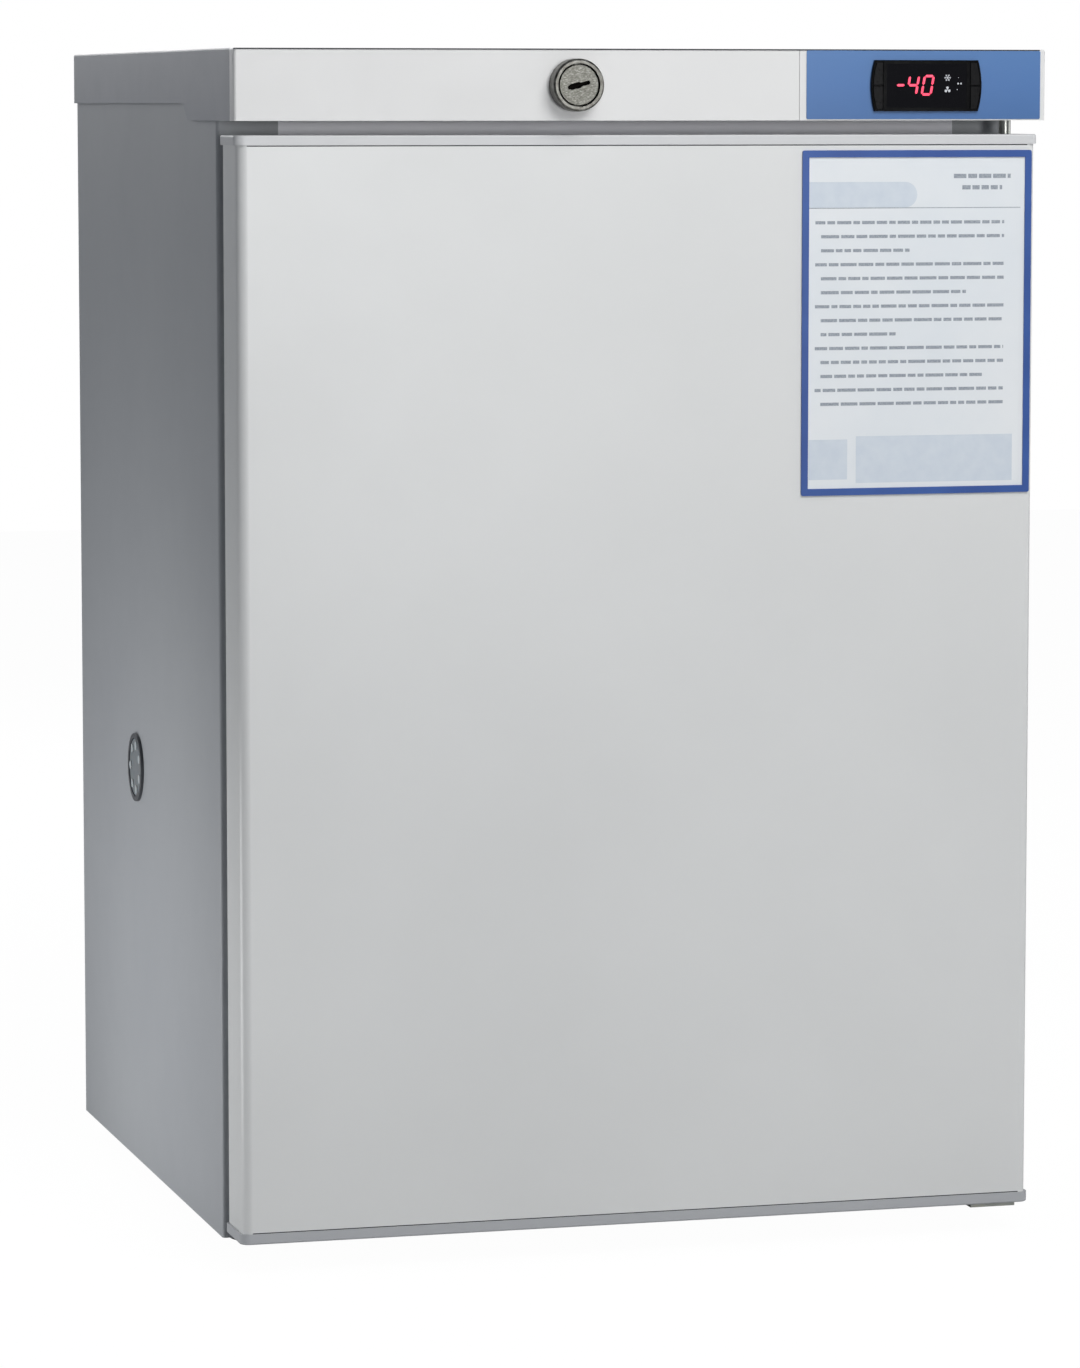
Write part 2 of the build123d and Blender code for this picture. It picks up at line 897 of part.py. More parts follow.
# Controller keys: four small pads at the ends of the bezel, each pressed by itself
key_back = bezel_base + key_travel + seam_gap / 2
for key_name, (side, level) in key_places.items():
    with BuildPart() as key:
        with BuildSketch(bezel_plane.offset(key_back)):
            add(key_outline(side, level, key_gap))
        extrude(amount=bezel_stand + key_stand - key_back)
        chamfer(key.faces().sort_by(Axis.Y)[0].edges(), key_bevel)
    key.part.label = key_name
    export_step(key.part, f"parts/{key_name}.step")

# Controller housing: the box behind the panel, with its clips and terminal block
housing_back = fascia_front + fascia_wall + housing_depth
with BuildPart() as controller_housing:
    add(
        box_between(
            (
                controller_centre_x - housing_width / 2,
                film_front,
                controller_centre_z - housing_height / 2,
            ),
            (
                controller_centre_x + housing_width / 2,
                housing_back,
                controller_centre_z + housing_height / 2,
            ),
        )
    )
    for side in (-1, 1):
        with Locations(
            (
                controller_centre_x + side * (housing_width / 2 + housing_clip_height / 2),
                fascia_front + fascia_wall + fit_gap + housing_clip_length / 2,
                controller_centre_z,
            )
        ):
            Box(housing_clip_height, housing_clip_length, housing_clip_width)
    # Terminal screws show as a row of shallow pits at the back
    terminal_row = (controller_centre_x, housing_back, controller_centre_z - terminal_drop)
    with Locations(Plane(origin=terminal_row, z_dir=(0, 1, 0))):
        with GridLocations(terminal_pitch, 1, terminal_count, 1):
            Box(terminal_pit_width, terminal_pit_height, 2 * terminal_pit_depth, mode=Mode.SUBTRACT)
controller_housing.part.label = "controller_housing"
export_step(controller_housing.part, "parts/controller_housing.step")

# Lock housing: a turned rosette in front of the fascia and a barrel through it
lock_axis = Plane(origin=(lock_x, fascia_front, lock_z), x_dir=(1, 0, 0), z_dir=(0, -1, 0))
rosette_inner = plug_radius + rosette_gap
with BuildPart() as lock_housing:
    with BuildSketch(lock_axis):
        Circle(rosette_radius)
    extrude(amount=lock_projection)
    chamfer(lock_housing.faces().sort_by(Axis.Y)[0].edges(), rosette_bevel)
    with BuildSketch(lock_axis):
        Circle(barrel_radius)
    extrude(amount=-barrel_length)
    with BuildSketch(lock_axis.offset(lock_projection)):
        Circle(rosette_inner)
    extrude(amount=-rosette_depth, mode=Mode.SUBTRACT)
    with BuildSketch(lock_axis.offset(lock_projection)):
        Circle(stem_radius + running_gap)
    extrude(amount=-(lock_projection + barrel_length), mode=Mode.SUBTRACT)
lock_housing.part.label = "lock_housing"
export_step(lock_housing.part, "parts/lock_housing.step")

# Lock nut: clamps the barrel from behind the fascia
with BuildPart() as lock_nut:
    with BuildSketch(lock_axis.offset(-fascia_wall)):
        RegularPolygon(nut_radius, 6)
        Circle(barrel_radius, mode=Mode.SUBTRACT)
    extrude(amount=-nut_thickness)
lock_nut.part.label = "lock_nut"
export_step(lock_nut.part, "parts/lock_nut.step")

# Lock plug: the turning core with its keyway
plug_front = lock_projection - plug_recess
plug_back = lock_projection - rosette_depth + fit_gap
with BuildPart() as lock_plug:
    with BuildSketch(lock_axis.offset(plug_front)):
        Circle(plug_radius)
    extrude(amount=-(plug_front - plug_back))
    chamfer(lock_plug.faces().sort_by(Axis.Y)[0].edges(), plug_bevel)
    with BuildSketch(lock_axis.offset(plug_back)):
        Circle(stem_radius)
    extrude(amount=-(plug_back + barrel_length + cam_gap))
    with BuildSketch(lock_axis.offset(-barrel_length - cam_gap)):
        Rectangle(cam_square, cam_square)
    extrude(amount=-(cam_thickness + cam_square_stand))
    with BuildSketch(lock_axis.offset(plug_front)):
        SlotOverall(keyway_length, keyway_width, rotation=keyway_tilt)
        with Locations(keyway_belly_shift):
            SlotOverall(*keyway_belly, rotation=keyway_tilt)
    extrude(amount=-keyway_depth, mode=Mode.SUBTRACT)
lock_plug.part.label = "lock_plug"
export_step(lock_plug.part, "parts/lock_plug.step")

# Lock cam: the tongue on the end of the plug, which drops into the door's strike
with BuildPart() as lock_cam:
    with BuildSketch(lock_axis.offset(-barrel_length - cam_gap)):
        Circle(cam_width / 2 + cam_hub_rim)
        with Locations(((cam_reach - cam_width / 2) / 2, 0)):
            Rectangle(cam_reach - cam_width / 2, cam_width)
        with Locations((cam_reach - cam_width / 2, 0)):
            Circle(cam_width / 2)
        Rectangle(cam_square, cam_square, mode=Mode.SUBTRACT)
    extrude(amount=-cam_thickness)
lock_cam.part.label = "lock_cam"
export_step(lock_cam.part, "parts/lock_cam.step")

# Door panel: one folded steel sheet for the front and both sides
door_outline = [
    (-panel_half, door_back),
    (-panel_half, panel_front),
    (panel_half, panel_front),
    (panel_half, door_back),
]
with BuildPart() as door_panel:
    with BuildSketch(Plane.XY.offset(panel_bottom)):
        with BuildLine():
            FilletPolyline(*door_outline, radius=door_corner_radius)
            offset(amount=sheet, side=Side.LEFT)
        make_face()
    extrude(amount=panel_top - panel_bottom)
door_panel.part.label = "door_panel"
export_step(door_panel.part, "parts/door_panel.step")

plug_half = core_half - fit_gap
plug_front_y = core_front + fit_gap
plug_middle_y = (plug_front_y + core_back) / 2
plug_depth_y = core_back - plug_front_y
cap_middle_y = (door_front + door_back) / 2
bush_outer = hinge_pin_radius + running_gap + hinge_bush_wall
bush_seat = bush_outer + hinge_bush_seat


def door_cap(seam, outward, height):
    """An end cap of the door: a thick rim over the panel and a hollow plug inside it."""
    with BuildPart() as cap:
        with BuildSketch(Plane.XY.offset(seam)):
            with Locations((0, cap_middle_y)):
                Rectangle(2 * cabinet_half, door_back - door_front)
            fillet([v for v in vertices() if v.Y < cap_middle_y], door_corner_radius)
        extrude(amount=outward * height)
        rim = cap.faces().sort_by(Axis.Z)[-1 if outward > 0 else 0].edges()
        fillet(rim, cap_edge_radius)
        with BuildSketch(Plane.XY.offset(seam)):
            with Locations((0, plug_middle_y)):
                RectangleRounded(2 * plug_half, plug_depth_y, door_corner_radius - sheet)
                RectangleRounded(
                    2 * (plug_half - cap_wall),
                    plug_depth_y - 2 * cap_wall,
                    door_corner_radius - sheet - cap_wall,
                    mode=Mode.SUBTRACT,
                )
            with Locations((hinge_x, hinge_y)):
                Circle(bush_seat)
        extrude(amount=-outward * cap_plug_depth)
        with Locations(Plane(origin=(hinge_x, hinge_y, seam + outward * height), z_dir=(0, 0, outward))):
            Hole(bush_outer, depth=hinge_bush_length)
    return cap.part


# Door top cap: also holds the strike, a slot that takes the lock's cam
cam_door_drop = lock_z - door_top
cam_door_reach = sqrt(cam_reach**2 - cam_door_drop**2)
strike_left = lock_x - cam_width / 2 - strike_clearance
strike_right = lock_x + cam_door_reach + strike_clearance
strike_front = cam_front - strike_side_gap
strike_back = cam_back + strike_side_gap
strike_floor = lock_z - cam_reach - strike_side_gap
with BuildPart() as door_top_cap:
    add(door_cap(panel_top, 1, top_cap_height))
    add(
        box_between(
            (strike_left - cap_wall, strike_front - cap_wall, strike_floor - cap_wall),
            (strike_right + cap_wall, strike_back + cap_wall, panel_top),
        )
    )
    add(
        box_between(
            (strike_left, strike_front, strike_floor),
            (strike_right, strike_back, door_top + cut_margin),
        ),
        mode=Mode.SUBTRACT,
    )
door_top_cap.part.label = "door_top_cap"
export_step(door_top_cap.part, "parts/door_top_cap.step")

with BuildPart() as door_bottom_cap:
    add(door_cap(panel_bottom, -1, bottom_cap_height))
door_bottom_cap.part.label = "door_bottom_cap"
export_step(door_bottom_cap.part, "parts/door_bottom_cap.step")

dike_half = chamber_half - dike_gap
dike_top = chamber_top - dike_gap
dike_bottom = chamber_bottom + dike_gap
dike_middle = (dike_top + dike_bottom) / 2
dike_height = dike_top - dike_bottom


def dike(inset, start, depth):
    """The raised rim inside the door that reaches into the chamber, with its recessed middle."""
    with BuildPart() as rim:
        with BuildSketch(Plane.XZ.offset(-start)):
            with Locations((0, dike_middle)):
                RectangleRounded(
                    2 * (dike_half - inset), dike_height - 2 * inset, liner_corner_radius - inset
                )
        extrude(amount=-(depth - inset), taper=dike_taper)
        with BuildSketch(Plane.XZ.offset(-(start + depth - inset))):
            with Locations((0, dike_middle)):
                RectangleRounded(
                    2 * (dike_half - dike_wall + inset),
                    dike_height - 2 * dike_wall + 2 * inset,
                    liner_corner_radius - inset,
                )
        extrude(amount=dike_recess, taper=dike_taper, mode=Mode.SUBTRACT)
    return rim.part


# Door foam: fills the door between the panel, the caps and the inner panel
with BuildPart() as door_foam:
    with BuildSketch(Plane.XY.offset(panel_bottom)):
        with Locations((0, (core_front + core_back) / 2)):
            Rectangle(2 * core_half, core_back - core_front)
        fillet([v for v in vertices() if v.Y < cap_middle_y], door_corner_radius - sheet)
    extrude(amount=panel_top - panel_bottom)
    add(dike(door_liner_wall, core_back, dike_depth + door_liner_wall))
    for low, high in ((panel_bottom, panel_bottom + cap_plug_depth), (panel_top - cap_plug_depth, panel_top)):
        add(
            box_between(
                (-core_half - cut_margin, core_front - cut_margin, low - cut_margin),
                (core_half + cut_margin, core_back + cut_margin, high),
            ),
            mode=Mode.SUBTRACT,
        )
    add(
        box_between(
            (strike_left - cap_wall, strike_front - cap_wall, strike_floor - cap_wall - fit_gap),
            (strike_right + cap_wall, strike_back + cap_wall, panel_top + cut_margin),
        ),
        mode=Mode.SUBTRACT,
    )
door_foam.part.label = "door_foam"
export_step(door_foam.part, "parts/door_foam.step")

# Door liner: the formed inner panel with its raised rim
with BuildPart() as door_liner:
    with BuildSketch(Plane.XZ.offset(-core_back)):
        with Locations((0, (panel_top + panel_bottom) / 2)):
            Rectangle(2 * (core_half - fit_gap), panel_top - panel_bottom)
    extrude(amount=-door_liner_wall)
    add(dike(0, core_back, dike_depth + door_liner_wall))
    add(dike(door_liner_wall, core_back, dike_depth + door_liner_wall), mode=Mode.SUBTRACT)
door_liner.part.label = "door_liner"
export_step(door_liner.part, "parts/door_liner.step")

# Door gasket: a soft bellows ring with a bead that closes on the steel front
gasket_height = gasket_top - gasket_bottom
gasket_middle = (gasket_top + gasket_bottom) / 2
bellows_waist = 5


def ring_layer(start, depth, outer_inset, inner_inset):
    """One layer of the gasket, cut back from its outer and inner edges."""
    with BuildPart() as layer:
        with BuildSketch(Plane.XZ.offset(-start)):
            with Locations((0, gasket_middle)):
                Rectangle(2 * (gasket_half - outer_inset), gasket_height - 2 * outer_inset)
                Rectangle(
                    2 * (gasket_half - gasket_width + inner_inset),
                    gasket_height - 2 * (gasket_width - inner_inset),
                    mode=Mode.SUBTRACT,
                )
        extrude(amount=-depth)
    return layer.part


gasket_run = gasket_back - door_back
with BuildPart() as door_gasket:
    add(ring_layer(door_back, gasket_run * 0.25, 0, 0))
    add(ring_layer(door_back, gasket_run, bellows_waist, 0))
    add(ring_layer(gasket_back - gasket_run * 0.5, gasket_run * 0.5, 0, 0))
door_gasket.part.label = "door_gasket"
export_step(door_gasket.part, "parts/door_gasket.step")

# Hinge bushes: plastic sleeves pressed into both caps
with BuildPart() as hinge_bushes:
    for end, direction in ((door_top, -1), (door_bottom, 1)):
        with BuildSketch(Plane(origin=(hinge_x, hinge_y, end), z_dir=(0, 0, direction))):
            Circle(bush_outer)
            Circle(hinge_pin_radius + running_gap, mode=Mode.SUBTRACT)
        extrude(amount=hinge_bush_length)
hinge_bushes.part.label = "hinge_bushes"
export_step(hinge_bushes.part, "parts/hinge_bushes.step")

# Instruction frame: a flat border on the door that holds a sheet
frame_middle = ((frame_left + frame_right) / 2, (frame_top + frame_bottom) / 2)
with BuildPart() as instruction_frame:
    with BuildSketch(Plane.XZ.offset(-panel_front)):
        with Locations(frame_middle):
            RectangleRounded(frame_right - frame_left, frame_top - frame_bottom, frame_corner_radius)
            Rectangle(
                frame_right - frame_left - 2 * frame_border,
                frame_top - frame_bottom - 2 * frame_border,
                mode=Mode.SUBTRACT,
            )
    extrude(amount=frame_thickness)
instruction_frame.part.label = "instruction_frame"
export_step(instruction_frame.part, "parts/instruction_frame.step")

with BuildPart() as instruction_sheet:
    with BuildSketch(Plane.XZ.offset(-panel_front)):
        with Locations(frame_middle):
            Rectangle(
                frame_right - frame_left - 2 * frame_border,
                frame_top - frame_bottom - 2 * frame_border,
            )
    extrude(amount=paper_thickness)
instruction_sheet.part.label = "instruction_sheet"
export_step(instruction_sheet.part, "parts/instruction_sheet.step")

# Upper hinge: a flat plate on the top panel with a pin that points down
hinge_plate_left = hinge_x - hinge_inner_reach
hinge_plate_right = hinge_x + hinge_outer_reach
hinge_plate_front = hinge_y - hinge_nose
upper_screws = [
    (hinge_plate_left + hinge_screw_edge, cabinet_front + hinge_screw_setback),
    (hinge_plate_right - hinge_screw_edge, cabinet_front + hinge_screw_setback),
    (
        (hinge_plate_left + hinge_plate_right) / 2,
        cabinet_front + upper_hinge_reach - hinge_screw_setback,
    ),
]
with BuildPart() as upper_hinge:
    with BuildSketch(Plane.XY.offset(cabinet_top)):
        with Locations(
            (
                (hinge_plate_left + hinge_plate_right) / 2,
                (hinge_plate_front + cabinet_front + upper_hinge_reach) / 2,
            )
        ):
            RectangleRounded(
                hinge_plate_right - hinge_plate_left,
                cabinet_front + upper_hinge_reach - hinge_plate_front,
                hinge_plate_corner,
            )
        with Locations(upper_screws):
            Circle(screw_radius + running_gap, mode=Mode.SUBTRACT)
    extrude(amount=hinge_plate)
    add(
        rod(
            (hinge_x, hinge_y, cabinet_top + hinge_plate / 2),
            (0, 0, -1),
            hinge_pin_radius,
            cabinet_top + hinge_plate / 2 - door_top + hinge_bush_length - hinge_pin_end_gap,
        )
    )
upper_hinge.part.label = "upper_hinge"
export_step(upper_hinge.part, "parts/upper_hinge.step")

# Lower hinge: an angle on the front of the cabinet with a pin that points up
lower_hinge_floor = foot_height + lower_hinge_lift
lower_screw_z = lower_hinge_floor + lower_hinge_leg - lower_screw_drop
lower_hinge_top = lower_hinge_floor + lower_hinge_leg
lower_screws = [
    (hinge_plate_left + hinge_screw_edge, lower_screw_z),
    (hinge_plate_right - hinge_screw_edge, lower_screw_z),
]
with BuildPart() as lower_hinge:
    add(
        folded_sheet(
            Plane.YZ.offset(hinge_plate_left),
            [
                (hinge_plate_front, lower_hinge_floor),
                (cabinet_front, lower_hinge_floor),
                (cabinet_front, lower_hinge_top),
            ],
            lower_hinge_sheet,
            Side.LEFT,
            hinge_plate_right - hinge_plate_left,
        )
    )
    add(
        rod(
            (hinge_x, hinge_y, lower_hinge_floor + lower_hinge_lift),
            (0, 0, 1),
            hinge_pin_radius,
            door_bottom - lower_hinge_floor - lower_hinge_lift + hinge_bush_length - hinge_pin_end_gap,
        )
    )
    for x, z in lower_screws:
        add(
            rod((x, cabinet_front, z), (0, -1, 0), screw_radius + running_gap, hinge_plate),
            mode=Mode.SUBTRACT,
        )
lower_hinge.part.label = "lower_hinge"
export_step(lower_hinge.part, "parts/lower_hinge.step")

# Access port: a sleeve through the wall with a rim outside
port_face = Plane(origin=(-cabinet_half, port_y, port_height), x_dir=(0, 1, 0), z_dir=(-1, 0, 0))
with BuildPart() as port_sleeve:
    with BuildSketch(port_face):
        Circle(port_rim_radius)
        Circle(port_tube_inner, mode=Mode.SUBTRACT)
    extrude(amount=port_rim_stand)
    with BuildSketch(port_face.offset(port_rim_stand)):
        Circle(port_rim_radius - port_rim_wall)
    extrude(amount=-port_plug_head, mode=Mode.SUBTRACT)
    with BuildSketch(port_face):
        Circle(port_tube_radius)
        Circle(port_tube_inner, mode=Mode.SUBTRACT)
    extrude(amount=-(cabinet_half - chamber_half))
port_sleeve.part.label = "port_sleeve"
export_step(port_sleeve.part, "parts/port_sleeve.step")

# Port plug: a soft stopper that pulls out, with raised lobes round its face
plug_face_radius = port_rim_radius - port_rim_wall - port_plug_gap
plug_stem_radius = port_tube_inner - port_plug_gap
lobe_ring = plug_face_radius - port_lobe_radius - port_lobe_inset
plug_seat_plane = port_face.offset(port_rim_stand - port_plug_head + port_plug_seat)
with BuildPart() as port_plug:
    with BuildSketch(plug_seat_plane):
        Circle(plug_face_radius)
    extrude(amount=port_plug_face)
    with BuildSketch(plug_seat_plane):
        with PolarLocations(lobe_ring, port_lobe_count):
            Circle(port_lobe_radius)
    extrude(amount=port_plug_head - 2 * port_plug_seat)
    with BuildSketch(plug_seat_plane):
        Circle(plug_stem_radius)
    extrude(amount=-port_plug_length, taper=port_plug_taper)
port_plug.part.label = "port_plug"
export_step(port_plug.part, "parts/port_plug.step")

# Evaporator shelves: stamped plates with a folded lip and a raised refrigerant channel
shelf_half = chamber_half - shelf_side_gap
shelf_names = ["evaporator_shelf_lower", "evaporator_shelf_middle", "evaporator_shelf_upper"]
channel_pitch = (ledge_rear - ledge_front - 2 * channel_margin) / (channel_runs - 1)
channel_reach = shelf_half - channel_margin
channel_points = []
for run in range(channel_runs):
    run_y = ledge_front + channel_margin + channel_pitch * run
    ends = (channel_reach, -channel_reach) if run % 2 == 0 else (-channel_reach, channel_reach)
    channel_points += [(ends[0], run_y), (ends[1], run_y)]
for shelf_name, level in zip(shelf_names, shelf_levels):
    with BuildPart() as shelf:
        with BuildSketch(Plane.YZ.offset(-shelf_half)):
            with BuildLine():
                FilletPolyline(
                    (ledge_front, level - shelf_lip),
                    (ledge_front, level + shelf_plate),
                    (ledge_rear - shelf_plate, level + shelf_plate),
                    (ledge_rear - shelf_plate, level + shelf_lip),
                    radius=bend_radius,
                )
                offset(amount=shelf_plate, side=Side.RIGHT)
            make_face()
        extrude(amount=2 * shelf_half)
        # The lip stops short of the ledges that carry the plate
        for edge in (-1, 1):
            with Locations((edge * shelf_half, ledge_front, level - shelf_lip)):
                Box(2 * (ledge_width + lip_notch_gap), lip_notch_length, 2 * shelf_lip, mode=Mode.SUBTRACT)
        with BuildSketch(Plane.XY.offset(level)):
            with BuildLine() as channel_path:
                FilletPolyline(*channel_points, radius=channel_pitch / 2 - bend_slack)
            trace(channel_path.line, channel_width)
        extrude(amount=-channel_height)
    shelf.part.label = shelf_name
    export_step(shelf.part, f"parts/{shelf_name}.step")

# Temperature probe and its vented cover on the back wall of the chamber
with BuildPart() as temperature_probe:
    add(
        rod(
            (probe_x, chamber_rear - probe_cover_depth / 2, probe_z - probe_length / 2),
            (0, 0, 1),
            probe_radius,
            probe_length,
        )
    )
    chamfer(temperature_probe.edges().sort_by(Axis.Z)[-1], probe_tip_bevel)
temperature_probe.part.label = "temperature_probe"
export_step(temperature_probe.part, "parts/temperature_probe.step")

with BuildPart() as probe_cover:
    with BuildSketch(Plane.XZ.offset(-chamber_rear)):
        with Locations((probe_x, probe_z)):
            RectangleRounded(probe_cover_width, probe_cover_height, probe_cover_corner)
    extrude(amount=probe_cover_depth)
    chamfer(probe_cover.faces().sort_by(Axis.Y)[0].edges(), probe_cover_edge)
    add(
        box_between(
            (
                probe_x - probe_cover_width / 2 + probe_cover_wall,
                chamber_rear - probe_cover_depth + probe_cover_wall,
                probe_z - probe_cover_height / 2 + probe_cover_wall,
            ),
            (
                probe_x + probe_cover_width / 2 - probe_cover_wall,
                chamber_rear,
                probe_z + probe_cover_height / 2 - probe_cover_wall,
            ),
        ),
        mode=Mode.SUBTRACT,
    )
    with BuildSketch(Plane.XZ.offset(-chamber_rear)):
        with Locations((probe_x, probe_z)):
            with GridLocations(1, probe_vent_pitch, 1, probe_vent_count):
                SlotOverall(probe_vent_length, probe_vent_width)
    extrude(amount=probe_cover_depth + cut_margin, mode=Mode.SUBTRACT)
    # A bridge inside grips the probe
    add(
        box_between(
            (
                probe_x - (probe_cover_width - probe_cover_wall) / 2,
                chamber_rear - probe_cover_depth / 2 - probe_bridge_wall,
                probe_z + probe_bridge_rise,
            ),
            (
                probe_x + (probe_cover_width - probe_cover_wall) / 2,
                chamber_rear - probe_cover_wall / 2,
                probe_z + probe_bridge_rise + probe_bridge_height,
            ),
        )
    )
    add(
        rod(
            (probe_x, chamber_rear - probe_cover_depth / 2, probe_z),
            (0, 0, 1),
            probe_radius,
            probe_length / 2,
        ),
        mode=Mode.SUBTRACT,
    )
probe_cover.part.label = "probe_cover"
export_step(probe_cover.part, "parts/probe_cover.step")

# Compressor plate: a ribbed carrier across the alcove, with a tab for the power inlet
compressor_y = (alcove_front + cabinet_rear) / 2 - compressor_shift
plate_rear = cabinet_rear - bend_radius - fit_gap
plate_outline = [
    (-cabinet_inner_half, foot_height + plate_flange),
    (-cabinet_inner_half, foot_height),
    (cabinet_inner_half, foot_height),
    (cabinet_inner_half, foot_height + plate_flange),
]
plate_top = foot_height + plate_sheet
inlet_z = plate_top + inlet_tab_height - inlet_flange_height / 2 - inlet_drop
with BuildPart() as compressor_plate:
    add(
        folded_sheet(
            Plane.XZ.offset(-plate_rear),
            plate_outline,
            plate_sheet,
            Side.LEFT,
            plate_rear - alcove_front,
        )
    )
    with Locations([(x, y, plate_top) for x, y in rear_feet]):
        Hole(insert_radius, depth=3 * plate_sheet)
    with BuildSketch(Plane.XY.offset(plate_top)):
        with Locations((vent_slots_x, compressor_y)):
            with GridLocations(1, vent_slot_pitch, 1, vent_slot_count):
                SlotOverall(vent_slot_length, vent_slot_width)
    extrude(amount=-2 * plate_sheet, mode=Mode.SUBTRACT)
    with BuildSketch(Plane.XZ.offset(-plate_rear)):
        with Locations((inlet_tab_x, plate_top + inlet_tab_height / 2)):
            Rectangle(inlet_tab_width, inlet_tab_height)
            fillet([v for v in vertices() if v.Z > inlet_z], inlet_tab_corner)
        with Locations((inlet_tab_x, inlet_z)):
            Rectangle(inlet_width + 2 * fit_gap, inlet_height + 2 * fit_gap, mode=Mode.SUBTRACT)
    extrude(amount=plate_sheet)
compressor_plate.part.label = "compressor_plate"
export_step(compressor_plate.part, "parts/compressor_plate.step")

# Compressor: a drawn shell in two halves with a welded seam, on four feet
foot_plane = plate_top + grommet_height
shell_bottom = foot_plane - compressor_sag
shell_seam = shell_bottom + compressor_shell_height
with BuildPart() as compressor:
    with BuildSketch(Plane.XY.offset(shell_bottom)):
        with Locations((compressor_x, compressor_y)):
            SlotOverall(compressor_length, compressor_width)
    extrude(amount=compressor_shell_height)
    chamfer(compressor.faces().sort_by(Axis.Z)[0].edges(), compressor_floor_bevel)
    with BuildSketch(Plane.XY.offset(shell_seam)):
        with Locations((compressor_x, compressor_y)):
            SlotOverall(compressor_length + 2 * seam_width, compressor_width + 2 * seam_width)
    extrude(amount=seam_height)
    # The upper shell closes in three steps that follow a drawn dome
    dome_z = shell_seam + seam_height
    dome_inset = 0
    for step_height, step_angle in compressor_dome_steps:
        with BuildSketch(Plane.XY.offset(dome_z)):
            with Locations((compressor_x, compressor_y)):
                SlotOverall(compressor_length - 2 * dome_inset, compressor_width - 2 * dome_inset)
        extrude(amount=step_height, taper=step_angle)
        dome_z = dome_z + step_height
        dome_inset = dome_inset + step_height * tan(radians(step_angle))
    for y_side in (-1, 1):
        with BuildSketch(Plane.XY.offset(foot_plane)):
            with Locations((compressor_x, compressor_y + y_side * foot_spacing_y / 2)):
                SlotOverall(foot_tab_length, foot_tab_width)
                with GridLocations(foot_spacing_x, 1, 2, 1):
                    Circle(grommet_bore + foot_tab_hole_gap, mode=Mode.SUBTRACT)
        extrude(amount=foot_tab_sheet)
compressor.part.label = "compressor"
export_step(compressor.part, "parts/compressor.step")

# Rubber grommets under the compressor's feet
with BuildPart() as compressor_grommets:
    with BuildSketch(Plane.XY.offset(plate_top)):
        with Locations((compressor_x, compressor_y)):
            with GridLocations(foot_spacing_x, foot_spacing_y, 2, 2):
                Circle(grommet_radius)
                Circle(grommet_bore, mode=Mode.SUBTRACT)
    extrude(amount=grommet_height)
compressor_grommets.part.label = "compressor_grommets"
export_step(compressor_grommets.part, "parts/compressor_grommets.step")

# Bolts through the grommets, with washers
with BuildPart() as compressor_bolts:
    with BuildSketch(Plane.XY.offset(plate_top)):
        with Locations((compressor_x, compressor_y)):
            with GridLocations(foot_spacing_x, foot_spacing_y, 2, 2):
                Circle(bolt_radius)
    extrude(amount=grommet_height + foot_tab_sheet)
    with BuildSketch(Plane.XY.offset(foot_plane + foot_tab_sheet)):
        with Locations((compressor_x, compressor_y)):
            with GridLocations(foot_spacing_x, foot_spacing_y, 2, 2):
                Circle(grommet_radius)
    extrude(amount=washer_thickness)
    with BuildSketch(Plane.XY.offset(foot_plane + foot_tab_sheet + washer_thickness)):
        with Locations((compressor_x, compressor_y)):
            with GridLocations(foot_spacing_x, foot_spacing_y, 2, 2):
                RegularPolygon(bolt_head_radius, 6)
    extrude(amount=bolt_head_height)
compressor_bolts.part.label = "compressor_bolts"
export_step(compressor_bolts.part, "parts/compressor_bolts.step")

# Terminal cover: the box with the relay on the compressor's end
terminal_left = compressor_x + compressor_length / 2 + fit_gap
terminal_bottom = shell_bottom + terminal_box_rise
with BuildPart() as terminal_cover:
    add(
        box_between(
            (terminal_left - terminal_box_overlap, compressor_y - terminal_box_width / 2, terminal_bottom),
            (
                terminal_left + terminal_box_length,
                compressor_y + terminal_box_width / 2,
                terminal_bottom + terminal_box_height,
            ),
        )
    )
    chamfer(terminal_cover.edges().filter_by(Axis.Z).group_by(Axis.X)[-1], terminal_box_corner)
    chamfer(terminal_cover.faces().sort_by(Axis.X)[-1].edges().filter_by(Axis.Y), terminal_box_edge)
    with BuildSketch(Plane.XY.offset(terminal_bottom)):
        with Locations((compressor_x, compressor_y)):
            SlotOverall(compressor_length + 2 * fit_gap, compressor_width + 2 * fit_gap)
    extrude(amount=terminal_box_height, mode=Mode.SUBTRACT)
terminal_cover.part.label = "terminal_cover"
export_step(terminal_cover.part, "parts/terminal_cover.step")

# Condenser: a serpentine tube behind the back panel
condenser_y = back_plane + condenser_centre
condenser_half = condenser_width / 2
condenser_levels = [condenser_bottom + condenser_pitch * i for i in range(condenser_runs)]
condenser_points = []
for run, level in enumerate(condenser_levels):
    ends = (-condenser_half, condenser_half) if run % 2 == 0 else (condenser_half, -condenser_half)
    condenser_points += [(ends[0], condenser_y, level), (ends[1], condenser_y, level)]
with BuildPart() as condenser_tube:
    add(bent_tube(condenser_points, condenser_pitch / 2 - bend_slack, tube_radius, round_sides))
condenser_tube.part.label = "condenser_tube"
export_step(condenser_tube.part, "parts/condenser_tube.step")

